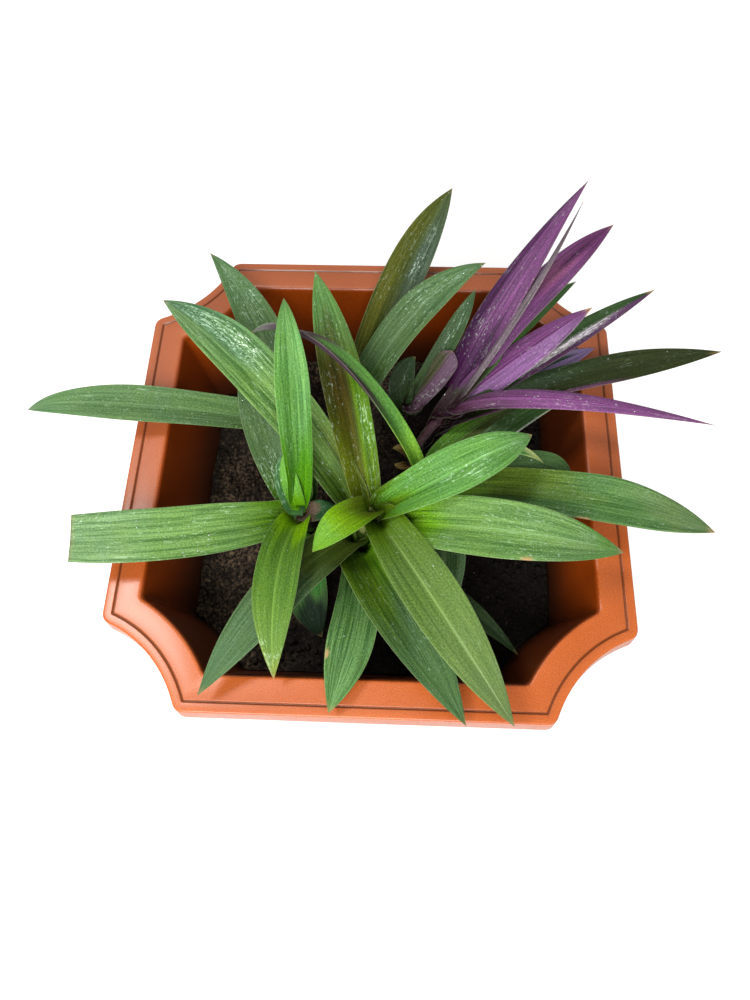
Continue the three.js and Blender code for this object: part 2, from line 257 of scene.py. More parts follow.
def random_turns(count: int, dice: np.random.Generator) -> Array:
    """Random turns, every one as likely as another.

    Formula: four normal draws scaled to length 1 are the quaternion w, x, y, z, and the rows
    below are the matrix of its turn.

    Args:
        count: How many turns.
        dice: Random draw.

    Returns:
        A 3 by 3 matrix for each turn.
    """
    w, x, y, z = unit(dice.normal(size=(count, 4))).T
    rows = [
        [1 - 2 * (y * y + z * z), 2 * (x * y - w * z), 2 * (x * z + w * y)],
        [2 * (x * y + w * z), 1 - 2 * (x * x + z * z), 2 * (y * z - w * x)],
        [2 * (x * z - w * y), 2 * (y * z + w * x), 1 - 2 * (x * x + y * y)],
    ]
    return np.moveaxis(np.array(rows), -1, 0)


def twenty_faces() -> tuple[Array, Array]:
    """A regular solid of twenty triangles, of radius 1.

    Formula: its points are the corners of three golden rectangles that stand square to each
    other, and its faces are the triples of points no further apart than an edge, 1.05 long.

    Returns:
        Its points, and three point numbers a face.
    """
    golden, over_an_edge = (1 + math.sqrt(5)) / 2, 1.1
    signs = np.array([[-1, -1], [-1, 1], [1, -1], [1, 1]], float)
    flat = np.concatenate([np.zeros((4, 1)), signs * [1, golden]], 1)
    points = unit(np.concatenate([np.roll(flat, turn, axis=1) for turn in range(3)]))
    triples = np.array(np.meshgrid(*[np.arange(len(points))] * 3)).reshape(3, -1).T
    triples = triples[(triples[:, 0] < triples[:, 1]) & (triples[:, 1] < triples[:, 2])]
    corners = points[triples]
    edges = np.linalg.norm(corners - np.roll(corners, -1, axis=1), axis=2)
    faces = triples[np.max(edges, axis=1) < over_an_edge]
    a, b, c = (points[faces[:, k]] for k in range(3))
    inward = np.einsum("ij,ij->i", a, np.cross(b, c)) < 0
    faces[inward] = faces[inward][:, ::-1]
    return points, faces


# Shader nodes


class Graph:
    """A node tree, with short calls that add its nodes and join them."""

    def __init__(self, tree: Tree) -> None:
        """Keeps the tree to be filled."""
        self.tree = tree

    def add(self, kind: str, inputs: dict | None = None, **settings: object) -> Node:
        """Adds a node.

        Args:
            kind: The node's type name without its ShaderNode start.
            inputs: Input names or numbers, each with a value or with another node's output.
            settings: Properties of the node itself.

        Returns:
            The node.
        """
        node = self.tree.nodes.new("ShaderNode" + kind)
        for key, value in settings.items():
            setattr(node, key, value)
        for key, value in (inputs or {}).items():
            self.feed(node.inputs[key], value)
        return node

    def feed(self, socket: Socket, value: object) -> None:
        """Joins an output to a socket, or sets the socket's own value.

        Args:
            socket: The socket.
            value: Another node's output, or a plain number, vector or colour.
        """
        if isinstance(value, Socket):
            self.tree.links.new(value, socket)
        elif isinstance(value, tuple) and socket.type == "RGBA":
            socket.default_value = (*value, 1.0)
        else:
            socket.default_value = value

    def math(self, operation: str, first: object, second: object = 0.0, clamp: bool = False) -> Socket:
        """One arithmetic step on two values."""
        return self.add("Math", {0: first, 1: second}, operation=operation, use_clamp=clamp).outputs[0]

    def product(self, first: object, *others: object) -> Socket:
        """Several values multiplied together.

        Args:
            first: The first value.
            others: The values that it is multiplied by, in order.

        Returns:
            The product.
        """
        for other in others:
            first = self.math("MULTIPLY", first, other)
        return first

    def scaled(self, value: object, by: float, plus: object) -> Socket:
        """A value times a number, plus another value."""
        return self.add("Math", {0: value, 1: by, 2: plus}, operation="MULTIPLY_ADD").outputs[0]

    def mix(self, share: object, first: object, second: object) -> Socket:
        """A colour between two, by share."""
        return self.add("Mix", {0: share, 6: first, 7: second}, data_type="RGBA").outputs[2]

    def tinted(self, colour: object, by: Colour) -> Socket:
        """A colour times another."""
        return self.add("VectorMath", {0: colour, 1: by}, operation="MULTIPLY").outputs[0]

    def step(self, value: object, low: float, high: float, top: float = 1.0) -> Socket:
        """A smooth step.

        Args:
            value: What is compared.
            low: Where the step starts from 0. Above high, the step goes down instead of up.
            high: Where it reaches its top.
            top: How high it goes.

        Returns:
            The step's height at the value.
        """
        reach = {0: value, 1: min(low, high), 2: max(low, high), 3: 0.0, 4: top}
        if low > high:
            reach[3], reach[4] = top, 0.0
        return self.add("MapRange", reach, interpolation_type="SMOOTHSTEP").outputs[0]

    def value(self, name: str) -> Socket:
        """The number that the piece holds at each point under that name."""
        return self.add("Attribute", attribute_name=name).outputs["Fac"]

    def colour(self, name: str) -> Socket:
        """The colour that the piece holds at each point under that name."""
        return self.add("Attribute", attribute_name=name).outputs["Color"]

    def noise(self, vector: object, scale: object, detail: float, roughness: float) -> Socket:
        """Noise from 0 to 1."""
        inputs = {"Vector": vector, "Scale": scale, "Detail": detail, "Roughness": roughness}
        return self.add("TexNoise", inputs).outputs[0]

    def drawn_out(self, vector: object, scale: Colour, detail: float, roughness: float) -> Socket:
        """Noise from 0 to 1, its coordinates scaled along each axis."""
        stretched = self.add("Mapping", {"Vector": vector, "Scale": scale}).outputs[0]
        return self.noise(stretched, 1.0, detail, roughness)

    def bump(self, shader: Node, height: object, strength: float, distance: float) -> None:
        """Lets a height move the shader's normal, by at most the distance in metres."""
        node = self.add("Bump", {"Height": height, "Strength": strength, "Distance": distance})
        self.feed(shader.inputs["Normal"], node.outputs[0])


class EffectKind(Enum):
    """Effects that more than one finish uses, each a node group."""

    VEINS = "leaf_veins"
    MOTTLE = "mottle"
    SPECKS = "specks"
    # Painted glints of dew: pale specks laid into the base colour.
    GLINTS = "dew_glints"
    BEADS = "fine_beads"


NUMBER = "NodeSocketFloat"
VECTOR = "NodeSocketVector"


def new_group(kind: EffectKind, inputs: dict[str, str], outputs: dict[str, str]) -> tuple[Graph, dict, Node]:
    """Starts a node group.

    Args:
        kind: Which effect it is.
        inputs: Input names, each with its socket type.
        outputs: Output names, each with its socket type.

    Returns:
        Its graph, its inputs by name, and the node that its outputs are fed to.
    """
    tree = bpy.data.node_groups.new(kind.value, "ShaderNodeTree")
    for name, socket in inputs.items():
        tree.interface.new_socket(name=name, in_out="INPUT", socket_type=socket)
    for name, socket in outputs.items():
        tree.interface.new_socket(name=name, in_out="OUTPUT", socket_type=socket)
    entry = tree.nodes.new("NodeGroupInput")
    return Graph(tree), {name: entry.outputs[name] for name in inputs}, tree.nodes.new("NodeGroupOutput")


@dataclass
class Effects:
    """The node groups shared by the finishes, each built when it is first asked for."""

    made: dict[EffectKind, Tree] = field(default_factory=dict)

    def place(self, graph: Graph, kind: EffectKind, inputs: dict[str, object]) -> Node:
        """Places an effect in a material.

        Args:
            graph: The material's graph.
            kind: Which effect.
            inputs: Its input values or the outputs that feed it.

        Returns:
            The group's node.
        """
        if kind not in self.made:
            builders = {
                EffectKind.VEINS: self.veins,
                EffectKind.MOTTLE: self.mottle,
                EffectKind.SPECKS: self.specks,
                EffectKind.GLINTS: self.glints,
                EffectKind.BEADS: self.beads,
            }
            self.made[kind] = builders[kind]()
        node = graph.tree.nodes.new("ShaderNodeGroup")
        node.node_tree = self.made[kind]
        for name, value in inputs.items():
            graph.feed(node.inputs[name], value)
        return node

    def mask(self, graph: Graph, kind: EffectKind, place: Socket, scale: float, **more: float) -> Socket:
        """The mask of an effect that has one output.

        Args:
            graph: The material's graph.
            kind: Which effect.
            place: The coordinates that it follows.
            scale: How many times it repeats in one unit of them.
            more: Its other inputs, by name.

        Returns:
            The mask, from 0 to 1.
        """
        return self.place(graph, kind, {"Place": place, "Scale": scale, **more}).outputs[0]

    def veins(self) -> Tree:
        """Veins that run the length of a leaf: noise drawn out along the leaf, coarse and fine.

        Returns:
            The group.
        """
        graph, given, leave = new_group(EffectKind.VEINS, {"Map": VECTOR}, {"Broad": NUMBER, "Fine": NUMBER})
        graph.feed(leave.inputs["Broad"], graph.drawn_out(given["Map"], (4.4, 0.09, 1.0), 2.0, 0.6))
        graph.feed(leave.inputs["Fine"], graph.drawn_out(given["Map"], (12.0, 0.35, 1.0), 3.0, 0.7))
        return graph.tree

    def mottle(self) -> Tree:
        """Soft uneven patches from 0 to 1: noise, its middle drawn out by a smooth step.

        Returns:
            The group.
        """
        inputs = {"Place": VECTOR, "Scale": NUMBER}
        graph, given, leave = new_group(EffectKind.MOTTLE, inputs, {"Patch": NUMBER})
        patch = graph.noise(given["Place"], given["Scale"], 5.0, 0.6)
        graph.feed(leave.inputs["Patch"], graph.step(patch, 0.3, 0.7))
        return graph.tree

    def specks(self) -> Tree:
        """Small separate dots: 1 near the middles of random cells, and only in about half of them.

        Returns:
            The group.
        """
        inputs = {"Place": VECTOR, "Scale": NUMBER, "Size": NUMBER}
        graph, given, leave = new_group(EffectKind.SPECKS, inputs, {"Dot": NUMBER})
        cells = graph.add("TexVoronoi", {"Vector": given["Place"], "Scale": given["Scale"]})
        dot = graph.step(graph.math("SUBTRACT", given["Size"], cells.outputs["Distance"]), 0.0, 0.1)
        shown = graph.step(cells.outputs["Color"], 0.45, 0.55)
        graph.feed(leave.inputs["Dot"], graph.product(dot, shown))
        return graph.tree

    def glints(self) -> Tree:
        """Painted highlights: fine specks and streaks of glinting dew along the veins.

        Formula: noise drawn out a little along the leaf, and noise drawn out a lot, each kept
        where it is high, and both only where a broad noise is high or the film lies. The film
        also lowers how high the noise has to be.

        Returns:
            The group, with its output from 0 to 1.
        """
        inputs = {"Map": VECTOR, "Film": NUMBER}
        graph, given, leave = new_group(EffectKind.GLINTS, inputs, {"Glint": NUMBER})
        more = graph.product(given["Film"], 0.07)
        broad = graph.drawn_out(given["Map"], (0.9, 0.32, 1.0), 2.0, 0.5)
        cluster = graph.step(graph.math("ADD", broad, graph.product(more, 2.4)), 0.42, 0.62)
        short = graph.drawn_out(given["Map"], (8.0, 3.0, 1.0), 4.0, 0.75)
        short = graph.step(graph.math("ADD", short, more), 0.56, 0.66)
        long = graph.drawn_out(given["Map"], (7.0, 0.7, 1.0), 3.0, 0.7)
        long = graph.step(graph.math("ADD", long, more), 0.58, 0.70, 0.8)
        graph.feed(leave.inputs["Glint"], graph.product(graph.math("MAXIMUM", short, long), cluster))
        return graph.tree

    def beads(self) -> Tree:
        """The fine grain of a leaf's skin or of moulded plastic, from 0 to 1: noise of few details.

        Returns:
            The group.
        """
        inputs = {"Place": VECTOR, "Scale": NUMBER}
        graph, given, leave = new_group(EffectKind.BEADS, inputs, {"Grain": NUMBER})
        grain = graph.noise(given["Place"], given["Scale"], 2.0, 0.7)
        graph.feed(leave.inputs["Grain"], graph.step(grain, 0.25, 0.75))
        return graph.tree


def new_material(name: str, shader: dict[str, object]) -> tuple[Material, Graph, Node]:
    """Starts a material.

    Args:
        name: Its name.
        shader: Values set on its shader's own sockets.

    Returns:
        The material, its graph and its shader node.
    """
    material = bpy.data.materials.new(name)
    material.use_nodes = True
    graph = Graph(material.node_tree)
    principled = material.node_tree.nodes["Principled BSDF"]
    for key, value in shader.items():
        graph.feed(principled.inputs[key], value)
    return material, graph, principled


# Finishes


@dataclass(frozen=True)
class PlanterFinish:
    """Moulded plastic in terracotta orange: a fine grain and faint patches, with painted shade inside, on the
    lip and towards the back.

    Ranges of depth below the rim are in millimetres, and ranges across the planter in metres.
    """

    body: Colour = (0.42, 0.086, 0.012)
    pale: Colour = (0.53, 0.13, 0.028)
    # The colour the outside turns to towards the back: painted shade and reflected sky.
    faded: Colour = (0.38, 0.1, 0.034)
    # The inside's colour: the same plastic, painted darker as shade.
    inner: Colour = (0.27, 0.043, 0.002)
    # The colour of the darker groove and of the painted shade inside.
    grime: Colour = (0.03, 0.012, 0.006)
    # Darkens the lip's outer face: painted shade.
    lip_tint: Colour = (0.6, 0.5, 0.4)
    roughness: float = 0.27
    coat: float = 0.4
    patch_scale: float = 14.0
    grain_scale: float = 1500.0
    dot_scale: float = 150.0
    dot_size: float = 0.16
    faded_back: Range = (-0.1, 0.1)
    lip_depth: Range = (0.6, 2.0)
    # Where the painted shade inside lies: low down, at the back right and at the front.
    grime_depth: Range = (18.0, 74.0)
    dull_right: Range = (0.03, 0.09)
    dull_back: Range = (-0.03, 0.03)
    dull_front: Range = (-0.075, -0.1)

    def build(self, effects: Effects) -> Material:
        """Builds the material.

        Formula: the outside lies between two colours by patches, is painted darker and greyer
        towards the back as shade and reflected sky, and is painted darker on its lip as shade.
        The inside is painted a darker colour of its own as shade. Grain and dots vary both. The
        groove is darker, and painted shade lies inside: low down, at the front and at the back right.

        Args:
            effects: The node groups.

        Returns:
            The material, which reads the planter's own values.
        """
        values = {"Specular IOR Level": 0.35, "Coat Roughness": 0.2}
        material, graph, shader = new_material("terracotta_plastic", values)
        place = graph.add("TexCoord").outputs["Object"]
        patch = effects.mask(graph, EffectKind.MOTTLE, place, self.patch_scale)
        grain = effects.mask(graph, EffectKind.BEADS, place, self.grain_scale)
        dots = effects.mask(graph, EffectKind.SPECKS, place, self.dot_scale, Size=self.dot_size)
        across, back = graph.add("SeparateXYZ", {0: place}).outputs[:2]
        inside, depth = graph.value("inside"), graph.value("depth")
        outside = graph.mix(graph.product(patch, 0.55), self.body, self.pale)
        # Painted shade and reflected sky: the outside is darker and greyer towards the back.
        outside = graph.mix(graph.step(back, *self.faded_back), outside, self.faded)
        lip = graph.product(graph.step(depth, *self.lip_depth), graph.math("SUBTRACT", 1.0, inside))
        # Painted shade on the lip's outer face.
        outside = graph.mix(graph.product(lip, 0.5), outside, graph.tinted(outside, self.lip_tint))
        # The inside takes its own colour: painted shade.
        coloured = graph.mix(inside, outside, self.inner)
        fleck = graph.scaled(grain, 0.6, 0.7)
        grainy = graph.add("VectorMath", {0: coloured, 3: fleck}, operation="SCALE").outputs[0]
        speckled = graph.mix(graph.product(dots, 0.16), grainy, self.pale)
        # Painted shade inside: low down, at the back right and at the front, where walls and leaves shade the
        # inner wall.
        corner = graph.product(graph.step(across, *self.dull_right), graph.step(back, *self.dull_back))
        shadow_share = graph.math("MAXIMUM", corner, graph.step(back, *self.dull_front))
        shade_share = graph.math("MAXIMUM", graph.step(depth, *self.grime_depth), graph.product(shadow_share, 0.7))
        with_shade = graph.mix(graph.product(shade_share, inside, 0.9), speckled, self.grime)
        grooved = graph.mix(graph.product(graph.value("groove"), 0.75), with_shade, self.grime)
        graph.feed(shader.inputs["Base Color"], grooved)
        graph.feed(shader.inputs["Roughness"], graph.scaled(patch, 0.1, self.roughness))
        coat = graph.product(graph.math("SUBTRACT", 1.0, lip), self.coat)
        graph.feed(shader.inputs["Coat Weight"], coat)
        graph.bump(shader, grain, 0.2, 0.0003)
        return material


@dataclass(frozen=True)
class SoilFinish:
    """Potting soil: near black where it is moist, brown where it has dried, never shiny, with painted light
    that browns it towards the left and back.
    """

    name: str
    moist: Colour
    dried: Colour
    fleck: Colour = (0.11, 0.075, 0.045)
    roughness: float = 0.92
    patch_scale: float = 30.0
    grain_scale: float = 420.0
    dot_scale: float = 320.0
    dot_size: float = 0.2
    slant: float = -0.4
    dry_side: Range = (0.03, -0.08)

    def build(self, effects: Effects) -> Material:
        """Builds the material.

        Formula: it is dried where patches and the square of the grain are high, and the dried
        share is painted higher towards the left and the back, as painted light, and lower towards
        the right and front, as painted shade. Pale dots lie on it.

        Args:
            effects: The node groups.

        Returns:
            The material.
        """
        values = {"Roughness": self.roughness, "Specular IOR Level": 0.25}
        material, graph, shader = new_material(self.name, values)
        place = graph.add("TexCoord").outputs["Object"]
        patch = effects.mask(graph, EffectKind.MOTTLE, place, self.patch_scale)
        grain = effects.mask(graph, EffectKind.BEADS, place, self.grain_scale)
        dots = effects.mask(graph, EffectKind.SPECKS, place, self.dot_scale, Size=self.dot_size)
        across, back = graph.add("SeparateXYZ", {0: place}).outputs[:2]
        # Painted light and shade: more of the brown shows towards the left and back, where light falls.
        dry = graph.step(graph.scaled(back, self.slant, across), *self.dry_side, 0.95)
        dry = graph.math("ADD", dry, 0.08)
        share = graph.product(patch, graph.math("POWER", grain, 2.0), dry)
        base = graph.mix(share, self.moist, self.dried)
        graph.feed(shader.inputs["Base Color"], graph.mix(graph.product(dots, 0.35), base, self.fleck))
        graph.bump(shader, grain, 0.7, 0.0008)
        return material


@dataclass(frozen=True)
class LeafFinish:
    """Waxy leaf skin with lengthwise veins, a pale edge, fine dew and painted glints on the dew.

    The colour itself is held by the leaves, and this adds what varies over each of them. A tint
    multiplies that colour.
    """

    name: str
    contrast: float = 2.3
    roughness: float = 0.46
    shine: float = 0.12
    edge: Colour = (0.35, 0.42, 0.2)
    dry: Colour = (0.42, 0.27, 0.12)
    # The colour of the painted glints of dew.
    splash: Colour = (0.5, 0.66, 0.54)
    vein_tints: tuple[Colour, Colour] = ((0.52, 0.62, 0.55), (1.52, 1.38, 1.6))
    grain_tints: tuple[Colour, Colour] = ((0.7, 0.73, 0.7), (1.3, 1.26, 1.34))
    patch_tint: Colour = (1.2, 1.05, 0.5)
    pale_rib: Colour = (2.3, 1.9, 2.8)
    dark_rib: Colour = (0.4, 0.3, 0.4)
    # Brightens the leaf's own colour for the painted glints.
    dew_tint: Colour = (4.5, 3.6, 4.0)
    grain_scale: float = 9.0
    patch_scale: float = 0.7
    rib_side: Range = (0.075, 0.0)
    rib_start: Range = (0.03, 0.3)
    edge_side: Range = (0.972, 0.995)

    def build(self, effects: Effects) -> Material:
        """Builds the material.

        Formula: the leaf's own colour is tinted by its veins, by warm patches on the upper face
        and by its grain. The midrib is paler above and darker below, the edge is pale, and dry
        tips and the painted glints of dew, which are painted highlights, cover what lies under
        them. Film adds a coat where the painted glints lie.

        Args:
            effects: The node groups.

        Returns:
            The material, which reads the leaves' own map, colours and values.
        """
        values = {"Specular IOR Level": self.shine, "Coat Roughness": 0.12, "Coat IOR": 1.5}
        material, graph, shader = new_material(self.name, values)
        place = graph.add("UVMap", uv_map=LEAF_MAP).outputs[0]
        own, across, along = graph.colour("leaf_colour"), graph.value("across"), graph.value("along")
        upper, wet, film = graph.value("upper"), graph.value("wet"), graph.value("film")
        veins = effects.place(graph, EffectKind.VEINS, {"Map": place}).outputs
        grain = effects.mask(graph, EffectKind.BEADS, place, self.grain_scale)
        patch = effects.mask(graph, EffectKind.MOTTLE, place, self.patch_scale)
        streak = graph.math("SUBTRACT", graph.math("ADD", veins["Broad"], veins["Fine"]), 1.0)
        streak = graph.product(streak, graph.product(graph.value("striped"), self.contrast))
        streak = graph.math("ADD", streak, 0.5, clamp=True)
        body = graph.mix(streak, *(graph.tinted(own, tint) for tint in self.vein_tints))
        body = graph.mix(graph.product(patch, upper, 0.35), body, graph.tinted(body, self.patch_tint))
        body = graph.mix(grain, *(graph.tinted(body, tint) for tint in self.grain_tints))
        rib = graph.product(graph.step(across, *self.rib_side), graph.step(along, *self.rib_start))
        below = graph.step(upper, 0.6, 0.4)
        pale = graph.product(rib, graph.value("rib"), upper)
        body = graph.mix(pale, body, graph.tinted(own, self.pale_rib))
        body = graph.mix(graph.product(rib, below, 0.8), body, graph.tinted(own, self.dark_rib))
        body = graph.mix(graph.step(across, *self.edge_side, 0.32), body, self.edge)
        body = graph.mix(graph.value("dried"), body, self.dry)
        # Painted glints: pale specks and streaks in the base colour stand for light caught by the dew.
        dew = effects.place(graph, EffectKind.GLINTS, {"Map": place, "Film": film}).outputs[0]
        dew = graph.math("MULTIPLY", dew, graph.math("ADD", wet, film), clamp=True)
        glint_colour = graph.mix(0.6, graph.tinted(own, self.dew_tint), self.splash)
        graph.feed(shader.inputs["Base Color"], graph.mix(graph.product(dew, 0.85), body, glint_colour))
        rough = graph.scaled(veins["Fine"], 0.14, self.roughness - 0.05)
        rough = graph.math("SUBTRACT", rough, graph.product(wet, 0.1))
        rough = graph.math("SUBTRACT", rough, graph.product(dew, 0.2), clamp=True)
        graph.feed(shader.inputs["Roughness"], rough)
        graph.feed(shader.inputs["Coat Weight"], graph.product(film, graph.product(dew, 0.7)))
        relief = graph.scaled(veins["Broad"], 1.1, graph.product(grain, 0.55))
        graph.bump(shader, graph.math("ADD", relief, graph.product(dew, 0.5)), 0.6, 0.0006)
        return material


@dataclass(frozen=True)
class StemFinish:
    """Fleshy stem, brown and dry at the soil, with a grain."""

    name: str
    foot: Colour
    crown: Colour
    grain_tint: Colour = (2.6, 2.3, 2.0)
    patch_scale: float = 90.0
    grain_scale: float = 700.0
    change: Range = (0.55, 1.1)

    def build(self, effects: Effects) -> Material:
        """Builds the material.

        Formula: the colour runs from the foot's to the crown's, by patches earlier or later.

        Args:
            effects: The node groups.

        Returns:
            The material, which reads the stem's own share of the way up.
        """
        material, graph, shader = new_material(self.name, {"Roughness": 0.6})
        place = graph.add("TexCoord").outputs["Object"]
        patch = effects.mask(graph, EffectKind.MOTTLE, place, self.patch_scale)
        grain = effects.mask(graph, EffectKind.BEADS, place, self.grain_scale)
        up = graph.math("ADD", graph.value("along"), graph.product(patch, 0.25))
        body = graph.mix(graph.step(up, *self.change), self.foot, self.crown)
        body = graph.mix(graph.product(grain, 0.45), body, graph.tinted(body, self.grain_tint))
        graph.feed(shader.inputs["Base Color"], body)
        graph.bump(shader, grain, 0.6, 0.0006)
        return material


@dataclass(frozen=True)
class WaterFinish:
    """Beads of water that catch the light."""

    colour: Colour = (0.7, 0.8, 0.72)
    roughness: float = 0.05
    shine: float = 0.9
    alpha: float = 0.3

    def build(self) -> Material:
        """Builds the material, all its values set on the shader."""
        values = {"Base Color": self.colour, "Roughness": self.roughness, "Alpha": self.alpha}
        return new_material("water", {**values, "Specular IOR Level": self.shine})[0]


# The planter


@dataclass
class Planter:
    """Square planter with scooped corners. Sizes in millimetres.

    Insets are measured inwards from the rim's outside. The roundings are those of the profile's
    corners, from the underside's edge round the rim to the floor's edge.
    """

    rim_half: float = 150.0
    height: float = 240.0
    wall: float = 4.0
    floor: float = 5.0
    slope: float = 0.164
    corner_centre: float = 174.0
    scoop_radius: float = 76.0
    tip_ease: float = 5.0
    mouth_ease: float = 3.0
    sharp_ease: float = 0.8
    sharp_reach: float = 5.0
    shelf_width: float = 21.0
    shelf_thickness: float = 4.0
    lip_height: float = 15.0
    lip_flare: float = 1.5
    lip_top_inset: float = 0.2
    groove_inset: float = 6.0
    groove_half: float = 0.8
    groove_depth: float = 1.0
    groove_reach: float = 2.0
    mouth_margin: float = 1.0
    mouth_drop: float = 0.4
    foot_border: float = 20.0
    floor_border: float = 30.0
    roundings: tuple[float, ...] = (2.2, 1.2, 1.0, 0.8, 1.1, 1.1, 0.25, 0.35, 0.25, 2.6, 5.0)
    drain_radius: float = 6.0
    drain_reach: float = 55.0
    drain_span: Range = (-8.0, 12.0)
    drain_sides: int = 32
    drain_count: int = 4
    ease_steps: int = 5
    arc_steps: int = 26
    round_steps: int = 5
    sharp_deg: float = 38.0

    def inner_inset(self, height: float) -> float:
        """How far in from the rim's outside the inner wall stands at a height."""
        return self.shelf_width + (self.height - height) * self.slope

    def outline(self, inset: Array) -> Array:
        """The planter's outline, moved in from the rim's outside.

        Formula: each corner is an arc about a point outside the planter, whose radius is the
        scoop's plus the inset, and short parabolas ease it into the sides, which stand the
        inset in from the rim's half width. They are shortest at the groove, whose corners are
        crisp. The corner is turned three times by a right angle.

        Args:
            inset: One inset for each outline.

        Returns:
            Outlines by points by X and Y.
        """
        inset = np.asarray(inset, float)[:, None]
        half, radius = self.rim_half - inset, self.scoop_radius + inset
        across = self.corner_centre - half
        tip = self.corner_centre - np.sqrt(radius**2 - across**2)
        reach = np.where(inset < self.groove_inset, self.tip_ease, self.mouth_ease)
        off_groove = np.clip(np.abs(inset - self.groove_inset) / self.sharp_reach, 0, 1)
        reach = np.maximum(reach * off_groove, self.sharp_ease)
        ease = reach / radius
        start = np.arctan2(tip - self.corner_centre, -across) - ease
        end = np.arctan2(-across, tip - self.corner_centre) + ease
        turn = start + (end - start) * np.linspace(0, 1, self.arc_steps + 1)
        arc = self.corner_centre + radius[..., None] * np.stack([np.cos(turn), np.sin(turn)], -1)
        share = np.linspace(0, 1, self.ease_steps + 1)[None, :-1, None]
        low = np.stack([half, tip - reach], -1)
        knee = np.stack([half, tip], -1)
        first = (1 - share) ** 2 * low + 2 * share * (1 - share) * knee + share**2 * arc[:, :1]
        last = first[:, ::-1, ::-1]
        corner = np.concatenate([first, arc, last], 1)
        quarters = [corner]
        for _ in range(3):
            quarters.append(np.stack([-quarters[-1][..., 1], quarters[-1][..., 0]], -1))
        return np.concatenate(quarters, 1)

    def profile(self) -> Array:
        """The wall's outline as inset and height, with its corners rounded.

        Formula: near each corner the line is a parabola that leaves one side and meets the next
        at the rounding's length from the corner.

        Returns:
            Points from the underside round the rim to the floor, by inset and height.
        """
        top, under, foot = self.height, self.height - self.shelf_thickness, self.height - self.lip_height
        outer_foot, inner_foot = self.inner_inset(0) - self.wall, self.inner_inset(self.floor)
        groove = self.groove_inset
        spots = np.array([
            [outer_foot + self.foot_border, 0],
            [outer_foot, 0],
            [self.inner_inset(under) - self.wall, under],
            [self.wall, under],
            [self.wall - self.lip_flare, foot],
            [-self.lip_flare, foot],
            [self.lip_top_inset, top],
            [groove - self.groove_half, top],
            [groove, top - self.groove_depth],
            [groove + self.groove_half, top],
            [self.shelf_width, top],
            [inner_foot, self.floor],
            [inner_foot + self.floor_border, self.floor],
        ])
        rounding = np.array(self.roundings)[:, None]
        before = spots[1:-1] + unit(spots[:-2] - spots[1:-1]) * rounding
        after = spots[1:-1] + unit(spots[2:] - spots[1:-1]) * rounding
        share = np.linspace(0, 1, self.round_steps)[None, :, None]
        curve = (1 - share) ** 2 * before[:, None] + share**2 * after[:, None]
        curve = curve + 2 * share * (1 - share) * spots[1:-1, None]
        return np.concatenate([spots[:1], curve.reshape(-1, 2), spots[-1:]])

    def shell(self) -> Shell:
        """The wall, floor and rim as one closed surface.

        Formula: the outline is worked out at each point of the profile, and poles close it. The
        inside starts where the profile's second half drops below the shelf's edge. The groove's
        value is e to the minus square of the distance from its middle in half widths.

        Returns:
            The shell, with its values inside, groove and depth below the rim in millimetres.
        """
        inset, height = self.profile().T
        rings = self.outline(inset)
        count, around = rings.shape[:2]
        heights = np.broadcast_to(height[:, None, None], (count, around, 1))
        points = np.concatenate([rings, heights], -1).reshape(-1, 3)
        poles = np.array([[0, 0, 0], [0, 0, self.floor]])
        order = np.arange(count)
        dropped = (inset > self.shelf_width - self.mouth_margin) & (height < self.height - self.mouth_drop)
        mouth = np.argmax(dropped & (order > count / 2))
        near = np.exp(-(((inset - self.groove_inset) / self.groove_half) ** 2))
        values = {
            "inside": (order >= mouth).astype(float),
            "groove": near * (height > self.height - self.groove_reach),
            "depth": self.height - height,
        }
        for key, value in values.items():
            values[key] = np.append(np.repeat(value, around), [value[0], value[-1]])
        return Shell(
            points=np.concatenate([points, poles]) * MM,
            quads=grid_quads(count, around, closed=True),
            triangles=end_fans(count, around),
            values=values,
        ).facing_out()

    def drains(self) -> Shell:
        """The drain holes as cylinders that pass through the floor.

        Formula: each is a circle carried from below the floor to above it and closed by two
        poles, and their middles stand on a circle at equal steps.

        Returns:
            One shell with all the cylinders.
        """
        sides = self.drain_sides
        turn = full_turn(sides)
        ring = np.stack([np.cos(turn), np.sin(turn)], -1) * self.drain_radius
        shells = []
        for index in range(self.drain_count):
            angle = (index + 0.5) * 2 * math.pi / self.drain_count
            middle = np.array([math.cos(angle), math.sin(angle)]) * self.drain_reach
            levels = [np.append(ring + middle, np.full((sides, 1), z), 1) for z in self.drain_span]
            poles = np.array([[*middle, z] for z in self.drain_span])
            points = np.concatenate([*levels, poles]) * MM
            shells.append(Shell(points, grid_quads(2, sides, True), end_fans(2, sides)).facing_out())
        return joined(shells)

    def build(self, effects: Effects) -> Piece:
        """Builds the planter with its drain holes cut.

        Args:
            effects: The node groups.

        Returns:
            The planter.
        """
        material = PlanterFinish().build(effects)
        planter = self.shell().piece("planter_body", material, self.sharp_deg)
        cutter = self.drains().piece("drain_cutter", material)
        cut = planter.modifiers.new("drains", "BOOLEAN")
        cut.operation, cut.solver, cut.object = "DIFFERENCE", "EXACT", cutter
        finished = planter.evaluated_get(bpy.context.evaluated_depsgraph_get())
        mesh = bpy.data.meshes.new_from_object(finished)
        planter.modifiers.clear()
        planter.data = mesh
        bpy.data.objects.remove(cutter)
        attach(planter, BODY)
        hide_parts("planter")
        return planter


# The soil


